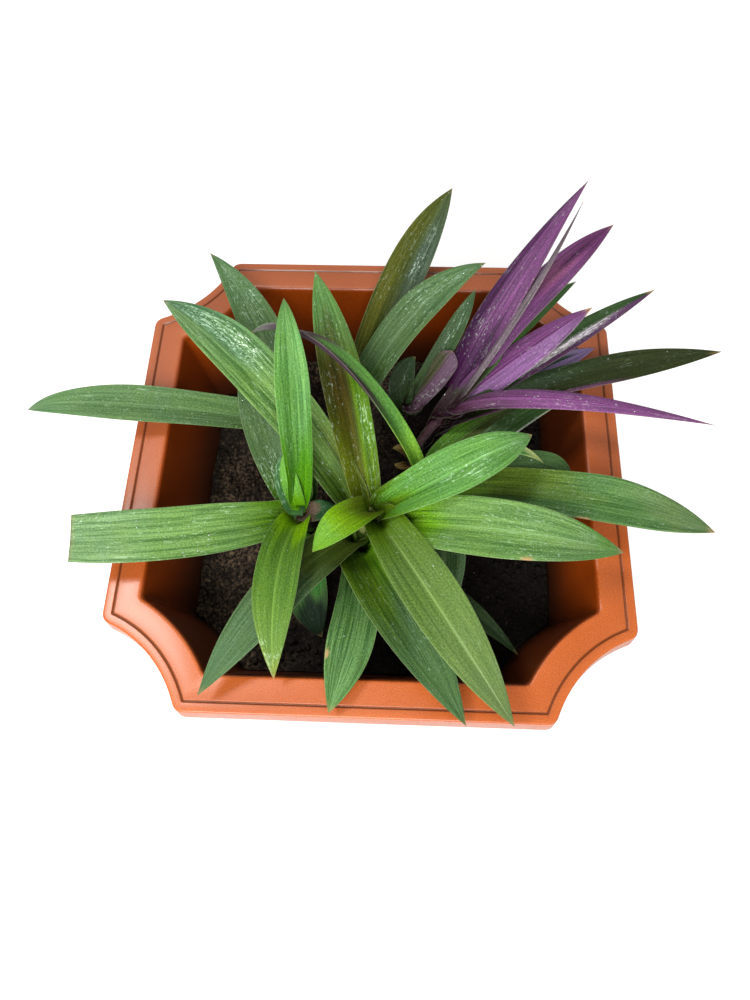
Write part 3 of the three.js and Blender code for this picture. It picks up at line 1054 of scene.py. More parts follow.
@dataclass
class Soil:
    """Potting soil with crumbs and chips on it. Sizes in millimetres.

    Each kind of lump has a height, the size of its noise's cells and a shift of the noise. Loose
    bits reach a share of the way out to the wall, and each corner and each bit's width is drawn
    from a range of shares of the bit's size.
    """

    planter: Planter
    level: float = 170.0
    wave: float = 2.5
    long_wave: float = 21.0
    cross_wave: float = 17.0
    short_wave: float = 9.0
    lumps: tuple[tuple[float, float, float], ...] = ((1.5, 9.0, 40.0), (1.0, 4.1, 90.0), (0.6, 1.9, 90.0))
    gap: float = 0.6
    edge_steps: int = 40
    cells: int = 150
    crumbs: int = 5200
    chips: int = 130
    loose_reach: float = 0.985
    loose_corner: Range = (0.6, 1.25)
    loose_width: Range = (0.6, 1.0)
    loose_stand: float = 0.3
    seed: int = 11

    def height(self, x: Array, y: Array) -> Array:
        """Height of the soil's top.

        Formula: the level, plus long waves sin(x)cos(y) and short ones across them, plus noise
        of three cell sizes for the lumps.

        Args:
            x: Places across, in millimetres.
            y: Places along, in millimetres.

        Returns:
            Heights above the planter's underside.
        """
        broad = np.sin(x / self.long_wave) * np.cos(y / self.cross_wave)
        fine = np.sin((x + y) / self.short_wave)
        rough = np.zeros(np.shape(x))
        for kind, (tall, cell, shift) in enumerate(self.lumps):
            rough = rough + tall * smooth_noise(x / cell + shift, y / cell + shift, self.seed + kind)
        return self.level + self.wave * (broad + fine / 2) + rough

    def spread(self, u: Array, v: Array, level: float) -> Array:
        """Places on the soil for points of a square from -1 to 1 each way.

        Formula: a point keeps its direction from the middle, and its larger coordinate becomes
        its share of the way out to the planter's inner wall in that direction. The wall's
        outline is cut into short steps first, so that its flat sides stay flat.

        Args:
            u: First coordinate in the square.
            v: Second coordinate in the square.
            level: Height at which the wall is met.

        Returns:
            X and Y of each place, in millimetres.
        """
        corners = self.planter.outline([self.planter.inner_inset(level) + self.gap])[0]
        steps = np.linspace(0, 1, self.edge_steps, endpoint=False)[:, None, None]
        edge = (corners * (1 - steps) + np.roll(corners, -1, axis=0) * steps).reshape(-1, 2)
        angles, reaches = np.arctan2(edge[:, 1], edge[:, 0]), np.hypot(edge[:, 0], edge[:, 1])
        order = np.argsort(angles)
        reach = np.interp(np.arctan2(v, u), angles[order], reaches[order], period=2 * math.pi)
        above_zero = 1e-9
        share = np.maximum(np.abs(u), np.abs(v)) / np.maximum(np.hypot(u, v), above_zero)
        return np.stack([u * share * reach, v * share * reach], -1)

    def bed(self) -> Shell:
        """The body of the soil.

        Formula: a square grid spread over the planter's mouth and lifted to the soil's height
        is its top, a wall runs from the grid's border to the planter's floor, and a pole closes
        it there.

        Returns:
            Its closed shell.
        """
        count = self.cells + 1
        side = np.linspace(-1, 1, count)
        v, u = np.meshgrid(side, side, indexing="ij")
        flat = self.spread(u, v, self.level)
        top = np.concatenate([flat, self.height(flat[..., 0], flat[..., 1])[..., None]], -1).reshape(-1, 3)
        number = np.arange(count**2).reshape(count, -1)
        border = np.concatenate([number[0, :-1], number[:-1, -1], number[-1, :0:-1], number[:0:-1, 0]])
        low = self.planter.floor + self.gap
        foot = self.spread(u.ravel()[border], v.ravel()[border], low)
        foot = np.append(foot, np.full((len(border), 1), low), 1)
        ring = np.arange(len(border)) + len(top)
        pole = len(top) + len(ring)
        wall = np.stack([border, ring, np.roll(ring, -1), np.roll(border, -1)], -1)
        return Shell(
            points=np.concatenate([top, foot, [[0, 0, low]]]) * MM,
            quads=np.concatenate([grid_quads(count, count, closed=False), wall]),
            triangles=fan(ring, pole)[:, ::-1],
        ).facing_out()

    def loose(self, count: int, low: float, high: float, flat: float, seed: int) -> Shell:
        """Loose bits lying on the soil.

        Formula: each is a twenty-faced solid with every corner pushed in or out at random, of a
        size between low and high that favours the small by a cube, turned at random.

        Args:
            count: How many bits.
            low: Smallest radius, in millimetres.
            high: Largest radius, in millimetres.
            flat: Thickness as a share of the radius.
            seed: Seed of the random draw.

        Returns:
            One shell with all of them.
        """
        dice = np.random.default_rng(seed)
        template, faces = twenty_faces()
        level_places = self.spread(*dice.uniform(-self.loose_reach, self.loose_reach, (2, count)), self.level)
        size = low + (high - low) * dice.uniform(0, 1, count) ** 3
        shape = size[:, None, None] * dice.uniform(*self.loose_corner, (count, len(template), 1))
        widths = dice.uniform(*self.loose_width, count)
        shape = shape * np.stack([np.ones(count), widths, np.full(count, flat)], -1)[:, None]
        heights = self.height(*level_places.T) + size * flat * self.loose_stand
        places = np.concatenate([level_places, heights[:, None]], -1)
        turns = random_turns(count, dice)
        return scattered(template, faces, places * MM, turns, shape * MM).facing_out()

    def build(self, effects: Effects) -> list[Piece]:
        """Builds the bed, the crumbs and the pale chips.

        Args:
            effects: The node groups.

        Returns:
            The three pieces.
        """
        dark = SoilFinish("soil", moist=(0.004, 0.003, 0.002), dried=(0.22, 0.15, 0.09)).build(effects)
        brown = SoilFinish("soil_crumb", moist=(0.007, 0.005, 0.003), dried=(0.16, 0.11, 0.07)).build(effects)
        pale = SoilFinish("bark_chip", moist=(0.06, 0.035, 0.02), dried=(0.26, 0.18, 0.1)).build(effects)
        crumbs = self.loose(self.crumbs, low=0.5, high=3.2, flat=0.75, seed=self.seed + 3)
        chips = self.loose(self.chips, low=0.6, high=2.8, flat=0.35, seed=self.seed + 4)
        made = [
            self.bed().piece("soil_bed", dark),
            crumbs.piece("soil_crumbs", brown),
            chips.piece("soil_chips", pale),
        ]
        for item in made:
            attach(item, BODY)
            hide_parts("soil")
        return made


# The shoots


class Tone(Enum):
    """A leaf's colours as linear RGB: at its root, in its middle, at its tip, and underneath."""

    FRESH = ((0.065, 0.2, 0.001), (0.08, 0.22, 0.042), (0.10, 0.25, 0.06), (0.15, 0.16, 0.13))
    LUSH = ((0.09, 0.23, 0.001), (0.06, 0.145, 0.014), (0.10, 0.19, 0.03), (0.14, 0.14, 0.10))
    LIME = ((0.13, 0.28, 0.003), (0.13, 0.28, 0.003), (0.13, 0.28, 0.004), (0.10, 0.20, 0.01))
    MID = ((0.065, 0.165, 0.001), (0.098, 0.21, 0.048), (0.12, 0.23, 0.09), (0.15, 0.13, 0.12))
    WARM = ((0.075, 0.16, 0.001), (0.085, 0.16, 0.03), (0.09, 0.15, 0.045), (0.14, 0.12, 0.10))
    DEEP = ((0.035, 0.10, 0.006), (0.041, 0.10, 0.025), (0.06, 0.14, 0.04), (0.13, 0.06, 0.11))
    BLUISH = ((0.05, 0.14, 0.006), (0.085, 0.17, 0.060), (0.10, 0.21, 0.08), (0.13, 0.07, 0.12))
    BRONZE = ((0.05, 0.075, 0.001), (0.034, 0.042, 0.001), (0.12, 0.27, 0.07), (0.12, 0.06, 0.09))
    OLIVE = ((0.05, 0.11, 0.008), (0.032, 0.05, 0.006), (0.06, 0.09, 0.025), (0.12, 0.06, 0.09))
    PURPLE = ((0.03, 0.008, 0.02), (0.045, 0.03, 0.035), (0.06, 0.10, 0.05), (0.13, 0.042, 0.12))
    LILAC = ((0.03, 0.008, 0.02), (0.045, 0.03, 0.035), (0.08, 0.12, 0.06), (0.24, 0.17, 0.31))
    DUSKY = ((0.05, 0.06, 0.04), (0.07, 0.085, 0.05), (0.08, 0.09, 0.05), (0.13, 0.10, 0.11))
    YOUNG = ((0.09, 0.03, 0.06), (0.12, 0.08, 0.09), (0.14, 0.12, 0.10), (0.13, 0.07, 0.10))
    DRY = ((0.16, 0.10, 0.07), (0.24, 0.17, 0.12), (0.30, 0.22, 0.15), (0.20, 0.15, 0.12))
    STRAW = ((0.08, 0.04, 0.01), (0.22, 0.14, 0.035), (0.36, 0.27, 0.08), (0.14, 0.08, 0.03))


@dataclass(frozen=True)
class Patch:
    """Part of a leaf, between two shares along it and two shares across it."""

    start: float
    end: float
    left: float = -1.2
    right: float = 1.2
    blur: float = 0.08

    def share(self, along: Array, across: Array) -> Array:
        """How far points of a leaf are inside the patch.

        Formula: each of its four sides is a smooth step as wide as twice the blur, and the four
        are multiplied.

        Args:
            along: Shares along the leaf.
            across: Shares across it.

        Returns:
            1 inside the patch and 0 outside it.
        """
        soft = self.blur
        inside = smooth_step(self.start - soft, self.start + soft, along)
        inside = inside * smooth_step(self.end + soft, self.end - soft, along)
        inside = inside * smooth_step(self.left - soft, self.left + soft, across)
        return inside * smooth_step(self.right + soft, self.right - soft, across)


@dataclass(frozen=True)
class Stain:
    """Another colour on part of a leaf. Most are the leaf's own colour; those marked so are painted light or
    shade.
    """

    colour: Colour
    patch: Patch
    strength: float = 0.85


@dataclass(frozen=True)
class Leaf:
    """One leaf of a shoot. Lengths in millimetres, turns in degrees.

    It starts on the stem at the share `at` of the way up, heads off in plan by heading from +X,
    reaches so far and rises so much. Its middle stands off the straight line to its tip by arch
    upwards and by sweep to its right, most of all at the share bend of the way. It is widest at
    the share peak, and the larger its taper, the blunter its tip. roll and twist turn the blade
    about its midrib, and the larger its fold, the steeper its halves rise from it.

    A cut leaf has no tip. shade multiplies its colour, wet is the dew all over it and
    how strongly painted glints of it show, gloss the dew and painted glints on the patches of its
    film, striped the strength of its veins, rib that of a pale midrib and dry_tip that of a
    dry tip. Nicks are dry spots, by the share along and the share across.
    """

    at: float
    heading: float
    reach: float
    rise: float
    arch: float
    sweep: float
    width: float
    tone: Tone = Tone.MID
    peak: float = 0.45
    fold: float = 0.3
    roll: float = 0.0
    twist: float = 0.0
    taper: float = 2.2
    bend: float = 0.5
    cut: bool = False
    shade: float = 1.0
    wet: float = 0.15
    striped: float = 1.0
    dry_tip: float = 0.35
    nicks: tuple[tuple[float, float], ...] = ()
    stains: tuple[Stain, ...] = ()
    film: tuple[Patch, ...] = ()
    gloss: float = 0.5
    rib: float = 0.25


@dataclass
class Blade:
    """A leaf's surface as a function of the share along it and the share across it.

    The share along is 0 where the blade leaves the stem and 1 at the tip. Below 0 it is the
    sheath, which clasps the stem from there down to -1. Lengths are in millimetres, and a pair
    is a range of shares along the leaf where nothing else is said.
    """

    leaf: Leaf
    axis: Array
    axis_low: Array
    wrap_radius: float
    seed: int
    sheath: Colour | None = None
    middle_thickness: float = 1.3
    edge_thickness: float = 0.7
    thin_below: float = 3.0
    least_thickness: float = 0.2
    least_width: float = 0.3
    sheath_width: float = 0.5
    swell_power: float = 0.8
    sheath_wrap: float = 1.9
    clasp: Range = (0.06, 0.45)
    cut_narrowing: float = 0.12
    fold_loss: float = 0.5
    sheath_fold: float = 0.9
    sheath_power: float = 5.0
    keel: float = 0.12
    joint: float = 0.16
    wrap_start: float = -0.05
    round_reach: float = 0.07
    round_span: float = 0.14
    look_ahead: float = 0.01
    free_from: float = 0.12
    edge_wave: float = 0.05
    wave_cycles: Range = (1.6, 2.8)
    rib_height: float = 0.12
    rib_width: float = 3.2
    rib_cycles: float = 2.5
    rib_start: Range = (0.03, 0.2)
    along_steps: int = 60
    sheath_steps: int = 12
    across_steps: int = 20
    tip_crowding: float = 1.15
    last_share: float = 0.998
    map_unit: float = 10.0
    map_strides: Range = (7.3, 3.1)
    map_period: float = 50.0
    drift: float = 0.1
    ragged: float = 0.02
    root_to_middle: Range = (0.03, 0.36)
    middle_to_tip: Range = (0.5, 0.97)
    root_to_under: Range = (0.0, 0.3)
    sheath_colour_end: Range = (0.26, 0.02)
    foot_shade: float = 0.75
    dry_tip_span: Range = (0.965, 0.995)
    dry_cut_span: Range = (0.985, 0.999)
    dry_cut: float = 0.2
    nick_scale: Range = (60.0, 14.0)
    nick_ring: Range = (0.6, 1.2)

    def line(self, q: Array) -> Array:
        """The midrib.

        Formula: from the root it is (1-t)^2 root + 2t(1-t) knee + t^2 tip. Next to the stem it
        stands out by the sheath's radius, less and less up to the joint, and below the root it
        goes down beside the stem to the sheath's foot.

        Args:
            q: Shares along the leaf, from -1 to 1.

        Returns:
            Points in millimetres.
        """
        ahead, right = self.headings()
        tip = self.axis + ahead * self.leaf.reach + UP * self.leaf.rise
        knee = self.axis + (tip - self.axis) * self.leaf.bend
        knee = knee + 2 * (UP * self.leaf.arch + right * self.leaf.sweep)
        t = np.clip(q, 0, 1)[..., None]
        points = (1 - t) ** 2 * self.axis + 2 * t * (1 - t) * knee + t**2 * tip
        points = points + self.outward() * self.wrap_radius * (1 - smooth_step(0.0, self.joint, t))
        return points + np.clip(-q, 0, 1)[..., None] * (self.axis_low - self.axis)

    def headings(self) -> tuple[Array, Array]:
        """The level directions of the leaf.

        Returns:
            The one ahead, and the one to its right.
        """
        heading = math.radians(self.leaf.heading)
        ahead = np.array([math.cos(heading), math.sin(heading), 0.0])
        return ahead, np.cross(ahead, UP)

    def outward(self) -> Array:
        """The direction from the stem to the sheath's midrib.

        Formula: the direction ahead, less its part along the stem.

        Returns:
            The direction, of length 1.
        """
        upward = unit(self.axis - self.axis_low)
        ahead = self.headings()[0]
        return unit(ahead - upward * (ahead @ upward))

    def spine(self, q: Array) -> tuple[Array, Array, Array]:
        """The midrib and the directions at it.

        Formula: the midrib is averaged with its neighbours near the root, which rounds the bend.
        The side is the midrib's direction crossed with up, or on the sheath the level direction
        to the right made square to the stem, turned about the midrib by roll + twist*t. The
        face is the side crossed with the midrib's direction.

        Args:
            q: Shares along the leaf.

        Returns:
            Points, directions sideways and out of the upper face.
        """
        q = np.asarray(q, float)
        reach = self.round_reach * np.clip(1 - np.abs(q) / self.round_span, 0, 1)
        points = (self.line(q - reach) + 2 * self.line(q) + self.line(q + reach)) / 4
        step = self.look_ahead + reach / 2
        high, low = np.minimum(q + step, 1), np.maximum(q - step, -1)
        along = unit(self.line(high) - self.line(low))
        free = smooth_step(0.0, self.joint, q)[..., None]
        right = self.headings()[1]
        held = unit(right - along * (along @ right)[..., None])
        above_zero = 1e-6
        level = unit(held * (1 - free) + unit(np.cross(along, UP) + above_zero) * free)
        turn = np.radians(self.leaf.roll + self.leaf.twist * q[..., None]) * free
        side = level * np.cos(turn) + np.cross(along, level) * np.sin(turn)
        return points, side, np.cross(side, along)

    def half_width(self, q: Array) -> Array:
        """Half the blade's width.

        Formula: it swells from the root to the peak as a quarter of a sine of a power of the way
        there. Past the peak it loses the way past it to the power of the taper, all of it, or a
        little where the leaf is cut. The sheath widens downwards until it goes most of the way
        round the stem.

        Args:
            q: Shares along the leaf.

        Returns:
            Half widths in millimetres.
        """
        peak = self.leaf.peak
        rising = np.sin(math.pi / 2 * np.clip(q / peak, 0, 1) ** self.swell_power)
        past = np.clip((q - peak) / (1 - peak), 0, 1) ** self.leaf.taper
        share = self.sheath_width + (1 - self.sheath_width) * rising
        share = share - past * (self.cut_narrowing if self.leaf.cut else 1.0)
        half = np.maximum(self.leaf.width * share, self.least_width) / 2
        clasp = smooth_step(*self.clasp, -q)
        return half * (1 - clasp) + self.wrap_radius * self.sheath_wrap * clasp

    def lift(self, t: Array, s: Array, half: Array, free: Array) -> Array:
        """How far the blade stands off its midrib's level, towards the upper face.

        Formula: the fold's lift grows with the root of s^2 + keel^2 less keel. The edges' wave
        grows with s^2 and is a sine of the way along, of its own phase on either side. The ribs
        are noise that fades towards the edges.

        Args:
            t: Shares along the leaf, from 0 to 1.
            s: Shares across it.
            half: Half widths there.
            free: 1 on the blade and 0 on the sheath.

        Returns:
            Lifts in millimetres.
        """
        lean = self.leaf.fold * (1 - self.fold_loss * t) + self.sheath_fold * (1 - t) ** self.sheath_power
        lift = free * lean * half * (np.sqrt(s**2 + self.keel**2) - self.keel)
        dice = np.random.default_rng(self.seed)
        phase, cycles = dice.uniform(0, 2 * math.pi, 2), dice.uniform(*self.wave_cycles)
        swing = np.sin(2 * math.pi * cycles * t + np.where(s > 0, phase[0], phase[1]))
        lift = lift + self.edge_wave * half * s**2 * swing * np.sin(math.pi * t)
        ribs = smooth_noise(s * self.leaf.width / self.rib_width + self.seed, t * self.rib_cycles, self.seed)
        return lift + self.rib_height * ribs * (1 - s**2) * smooth_step(*self.rib_start, t)

    def surface(self, q: Array, s: Array, above: Array) -> Array:
        """Points on the blade.

        Formula: the midrib, plus the side times s half widths, plus the face times the lift and
        half the thickness there. The thickness falls from the midrib to a round edge by the root
        of 1 - s^8. On the sheath the section bends round the stem, as an arc of the sheath's
        radius: across by sin(bend)/bend of the way, and up by (1 - cos(bend))/bend of it.

        Args:
            q: Shares along the leaf, from -1 to 1.
            s: Shares across it, from -1 to 1.
            above: 1 on the upper face, -1 on the lower, or more to stand off it.

        Returns:
            Points in millimetres.
        """
        q, s, above = np.broadcast_arrays(q, s, above)
        points, side, face = self.spine(q)
        half = self.half_width(q)
        lift = self.lift(np.clip(q, 0, 1), s, half, smooth_step(-self.free_from, self.free_from, q))
        thick = self.edge_thickness + (self.middle_thickness - self.edge_thickness) * (1 - np.abs(s))
        thick = thick * np.sqrt(np.maximum(1 - s**8, 0))
        thick = thick * np.clip(half / self.thin_below, self.least_thickness, 1)
        bend = s * half / self.wrap_radius * (1 - smooth_step(self.wrap_start, self.joint, q))
        out = s * half * np.sinc(bend / math.pi)
        curl = s * half * bend / 2 * np.sinc(bend / (2 * math.pi)) ** 2
        up = face * np.cos(bend)[..., None] - side * np.sin(bend)[..., None]
        points = points + side * out[..., None] + face * (lift + curl)[..., None]
        return points + up * (above * thick / 2)[..., None]

    def shell(self) -> Shell:
        """The closed blade.

        Formula: loops round its section are carried along it, crowded towards the edges and the
        tip, and a pole closes each end. Its map is in centimetres across and along, shifted by a
        stride for each seed so that no two leaves look alike.

        Returns:
            The shell, with the values and the map that its finish reads.
        """
        span = np.sin(math.pi / 2 * np.linspace(-1, 1, self.across_steps + 1))
        s = np.concatenate([span, span[-2:0:-1]])
        above = np.concatenate([np.ones(len(span)), -np.ones(len(span) - 2)])
        end = 1.0 if self.leaf.cut else self.last_share
        q = end * (1 - (1 - np.linspace(0, 1, self.along_steps)) ** self.tip_crowding)
        q = np.concatenate([np.linspace(-1, 0, self.sheath_steps, endpoint=False), q])
        grid = self.surface(q[:, None], s[None, :], above[None, :])
        tip = grid[-1].mean(0) if self.leaf.cut else self.line(np.array([1.0]))[0]
        rows, loop = len(q), len(s)
        along = np.append(np.repeat(q, loop), [-1.0, 1.0])
        across = np.append(np.tile(s, rows), [0.0, 0.0])
        upper = np.append(np.tile(above > 0, rows), [True, True]).astype(float)
        length = math.hypot(self.leaf.reach, self.leaf.rise)
        flat = np.stack([across * self.leaf.width / 2, along * length], -1)
        return Shell(
            points=np.concatenate([grid.reshape(-1, 3), [grid[0].mean(0), tip]]) * MM,
            quads=grid_quads(rows, loop, closed=True),
            triangles=end_fans(rows, loop),
            values=self.values(along, across, upper),
            map=flat / self.map_unit + self.seed * np.array(self.map_strides) % self.map_period,
        ).facing_out()

    def colour(self, place: Array, across: Array, upper: Array) -> Array:
        """The leaf's own colour.

        Formula: it runs from the root's to the middle's over the first third, stays, and runs to
        the tip's over the last third. Underneath it runs from a darker root to the colour there.
        Each stain and the sheath's colour lie over it by their share.

        Args:
            place: Share along the leaf at each point, moved to and fro by noise.
            across: Share across it at each point.
            upper: 1 on the upper face and 0 on the lower.

        Returns:
            A colour for each point.
        """
        root, middle, tip, under = (np.array(colour) for colour in self.leaf.tone.value)
        colour = root + (middle - root) * smooth_step(*self.root_to_middle, place)[:, None]
        colour = colour + (tip - colour) * smooth_step(*self.middle_to_tip, place)[:, None]
        base = under * 0.6 if self.leaf.tone in (Tone.PURPLE, Tone.YOUNG, Tone.LILAC) else root * 0.7
        below = base + (under - base) * smooth_step(*self.root_to_under, place)[:, None]
        colour = np.where(upper[:, None] > 0.5, colour, below)
        for stain in self.leaf.stains:
            inside = (stain.patch.share(place, across) * stain.strength)[:, None]
            colour = colour * (1 - inside) + np.array(stain.colour) * inside
        if self.sheath is not None:
            held = smooth_step(*self.sheath_colour_end, place)[:, None]
            colour = colour * (1 - held) + np.array(self.sheath) * held
        return colour

    def dryness(self, along: Array, across: Array) -> Array:
        """How dry the leaf is.

        Formula: it is dried at the tip or at a cut end, and round each nick by a ring whose edge
        is ragged by noise.

        Args:
            along: Share along the leaf at each point.
            across: Share across it at each point.

        Returns:
            0 where it is fresh to 1 where it is dry.
        """
        ragged = self.ragged * smooth_noise(across * 5 + self.seed, along * 9, self.seed + 6)
        dried = self.leaf.dry_tip * smooth_step(*self.dry_tip_span, along + ragged)
        if self.leaf.cut:
            dried = self.dry_cut * smooth_step(*self.dry_cut_span, along + ragged * 0.3)
        for place, side in self.leaf.nicks:
            far = np.hypot((along - place) * self.nick_scale[0], (across - side) * self.nick_scale[1])
            dried = np.maximum(dried, 1 - smooth_step(*self.nick_ring, far + ragged * 20))
        return dried

    def values(self, along: Array, across: Array, upper: Array) -> dict[str, Array]:
        """What the finish reads at each point of the blade.

        Formula: noise moves every change of colour to and fro along the leaf, and the sheath
        darkens towards its foot.

        Args:
            along: Share along the leaf at each point.
            across: Share across it at each point.
            upper: 1 on the upper face and 0 on the lower.

        Returns:
            Values by name.
        """
        count = len(along)
        place = along + self.drift * smooth_noise(across * 2 + self.seed, along * 5, self.seed + 5)
        foot = smooth_step(0.0, -1.0, along)[:, None]
        film = sum((patch.share(place, across) for patch in self.leaf.film), np.zeros(count))
        return {
            "leaf_colour": self.colour(place, across, upper) * self.leaf.shade * (1 - self.foot_shade * foot),
            "along": along,
            "across": np.abs(across),
            "upper": upper,
            # The dew values also set how strongly the painted glints show.
            "wet": np.full(count, self.leaf.wet),
            "film": np.clip(film, 0, 1) * self.leaf.gloss,
            "striped": np.full(count, self.leaf.striped),
            "rib": np.full(count, self.leaf.rib),
            "dried": self.dryness(along, across),
        }


@dataclass
class Shoot:
    """A stem and the leaves that grow from it. Lengths in millimetres.

    The stem's radius and the sheaths' radii are shares of the shoot's, and so are the swell
    between scars and the waver.
    """

    node: str
    slot: str
    foot: tuple[float, float]
    crown: tuple[float, float, float]
    radius: float
    leaves: tuple[Leaf, ...]
    bracts: tuple[Leaf, ...] = ()
    sheath: Colour | None = None
    soil_level: float = 170.0
    stem_bend: float = 0.6
    stem_depth: float = 12.0
    stem_top: float = 0.98
    stem_radius: float = 0.56
    scars: int = 5
    scar_swell: float = 0.1
    waver: float = 0.04
    rings: int = 40
    buried_rings: int = 6
    around: int = 24
    sheath_length: float = 26.0
    lowest_sheath: float = 0.02
    inner_sheath: float = 0.62
    sheath_growth: float = 0.4

    def stem(self, u: Array) -> Array:
        """The stem's line.

        Formula: (1-u)^2 foot + 2u(1-u) knee + u^2 crown, the knee above the foot.

        Args:
            u: Shares of the way up.

        Returns:
            Points in millimetres.
        """
        foot = np.array([*self.foot, self.soil_level])
        crown = np.array(self.crown)
        knee = foot + UP * (crown[2] - foot[2]) * self.stem_bend
        u = np.asarray(u, float)[..., None]
        return (1 - u) ** 2 * foot + 2 * u * (1 - u) * knee + u**2 * crown

    def stem_shell(self) -> Shell:
        """The stem: circles carried along its line.

        Formula: the radius is drawn in at each leaf scar by the sixth power of a sine of the way
        up, wavers with noise, and closes to a pole at both ends.

        Returns:
            Its closed shell.
        """
        u = np.linspace(0, self.stem_top, self.rings)
        line = self.stem(u)
        down = np.linspace(-self.stem_depth, -1, self.buried_rings)
        line = np.concatenate([line[0] + UP * down[:, None], line])
        share = np.concatenate([np.zeros(self.buried_rings), u])
        along = unit(np.gradient(line, axis=0))
        first = unit(np.cross(along, np.array([0.0, 1.0, 0.0])))
        second = np.cross(along, first)
        turn = full_turn(self.around)
        scar = np.abs(np.sin(share * self.scars * math.pi))[:, None] ** 6
        round_stem, up_stem = np.cos(turn)[None] * 2 + 9, np.sin(turn)[None] * 2 + share[:, None] * 9
        waver = self.waver * smooth_noise(round_stem, up_stem, len(self.node))
        radius = self.radius * (self.stem_radius + self.scar_swell * (1 - scar) + waver)
        out = first[:, None] * np.cos(turn)[None, :, None] + second[:, None] * np.sin(turn)[None, :, None]
        points = (line[:, None] + out * radius[..., None]).reshape(-1, 3)
        poles = np.stack([line[0], line[-1] + along[-1]])
        return Shell(
            points=np.concatenate([points, poles]) * MM,
            quads=grid_quads(len(line), self.around, closed=True),
            triangles=end_fans(len(line), self.around),
            values={"along": np.append(np.repeat(share, self.around), [0.0, 1.0])},
        ).facing_out()

    def blades(self) -> list[Blade]:
        """The surfaces of the leaves and of the dry bracts at their feet.

        Formula: each sheath goes down the stem by the sheath's length, and lies outside those of
        the leaves above it, so that the lowest is as thick as the shoot. Seeds come from the
        letters of the node's name and go up by three a leaf.

        Returns:
            One blade for each leaf and bract.
        """
        seed = sum(map(ord, self.node)) % 97
        grown = self.leaves + self.bracts
        length = np.linalg.norm(np.diff(self.stem(np.linspace(0, 1, 30)), axis=0), axis=1).sum()
        ranks = np.argsort(np.argsort([-leaf.at for leaf in grown])) / max(len(grown) - 1, 1)
        made = []
        for leaf, rank in zip(grown, ranks):
            low = max(leaf.at - self.sheath_length / length, self.lowest_sheath)
            radius = self.radius * (self.inner_sheath + self.sheath_growth * rank)
            made.append(Blade(leaf, self.stem(leaf.at), self.stem(low), radius, seed, self.sheath))
            seed += 3
        return made

    def build(self, leaf_skin: Material, stem_skin: Material) -> list[Piece]:
        """Builds the leaves as one piece and the stem as another.

        Args:
            leaf_skin: The leaves' finish.
            stem_skin: The stem's finish.

        Returns:
            The two pieces.
        """
        made = [
            joined([blade.shell() for blade in self.blades()]).piece(self.node + "_leaves", leaf_skin),
            self.stem_shell().piece(self.node + "_stem", stem_skin),
        ]
        for item in made:
            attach(item, BODY)
            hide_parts(self.node)
        return made


# A leaf's first seven numbers are at, heading, reach, rise, arch, sweep and width, a patch's are
# start, end, left, right and blur, and a stain's last one is its strength.
MAROON: Colour = (0.016, 0.003, 0.008)

FRONT_LEFT = Shoot("shoot_front_left", "green_leaf", (-40, -24), (-44, -34, 234), 7, leaves=(
    Leaf(0.8, -166, 127, 38, 11, -7, 30, Tone.MID, peak=0.6, roll=-12, cut=True, wet=0.9, striped=1.2),
    Leaf(0.92, -92.5, 100, 20, 30, 2, 24, Tone.LUSH, peak=0.5, taper=1.9, wet=0.3, striped=0.7,
        dry_tip=0.9, gloss=0.7, rib=0.7, film=(Patch(0.84, 0.98),), stains=(
        Stain((0.17, 0.36, 0.001), Patch(-0.2, 0.22), 0.8),
        Stain((0.16, 0.22, 0.02), Patch(0.93, 1.1), 0.8),
    )),
    Leaf(0.97, 92.4, 87, 94, 34, 4, 19, Tone.FRESH, peak=0.46, roll=40, twist=-44, taper=1.5, wet=0.5,
        stains=(
        Stain((0.12, 0.3, 0.09), Patch(0.3, 0.9, 0.2, 1.2, 0.2), 0.6),
        Stain((0.05, 0.19, 0.001), Patch(-0.2, 0.28), 0.8),
    )),
    Leaf(0.97, 103, 22, 43, 6, -2, 14, Tone.FRESH, fold=0.5, wet=0.2, striped=0.5, gloss=0.5,
        film=(Patch(0.2, 1.0, -1.2, -0.4),), stains=(
        Stain((0.085, 0.25, 0.001), Patch(-0.2, 1.1, -0.5, 1.2, 0.1), 0.9),
        Stain((0.12, 0.33, 0.05), Patch(0.38, 1.1, -0.5, 1.2, 0.12), 0.8),
        Stain((0.03, 0.1, 0.03), Patch(-0.2, 1.1, -1.2, -0.5, 0.1), 0.9),
    )),
    Leaf(0.62, 113, 191, 39, 18, 14, 28, Tone.BLUISH, shade=0.8, wet=0.8, gloss=0.55,
        film=(Patch(0.66, 0.92, -0.4, 0.7, 0.14),)),
    Leaf(0.8, 111, 115, 22, 10, -3, 31, Tone.BLUISH, shade=0.7, wet=0.6, striped=0.7, gloss=0.6,
        film=(Patch(0.02, 0.3, blur=0.12),)),
    Leaf(0.9, 7, 23, 13, 9, 4, 13, Tone.DRY, fold=0.5, shade=0.34, wet=0.3, striped=0.3,
        stains=(Stain((0.03, 0.16, 0.04), Patch(0.5, 1.1), 0.95),)),
    Leaf(0.35, -82, 73, -10, 6, 7, 27, Tone.FRESH, peak=0.55, shade=0.7, wet=0.1, gloss=0.7,
        film=(Patch(0.5, 0.62, -0.2, 0.6),), stains=(
        Stain((0.02, 0.18, 0.02), Patch(0.1, 0.6), 0.7),
        # Painted shade: the end, which bends down into shadow, is painted near black.
        Stain((0.003, 0.014, 0.007), Patch(0.66, 1.1, blur=0.1), 0.95),
    )),
))

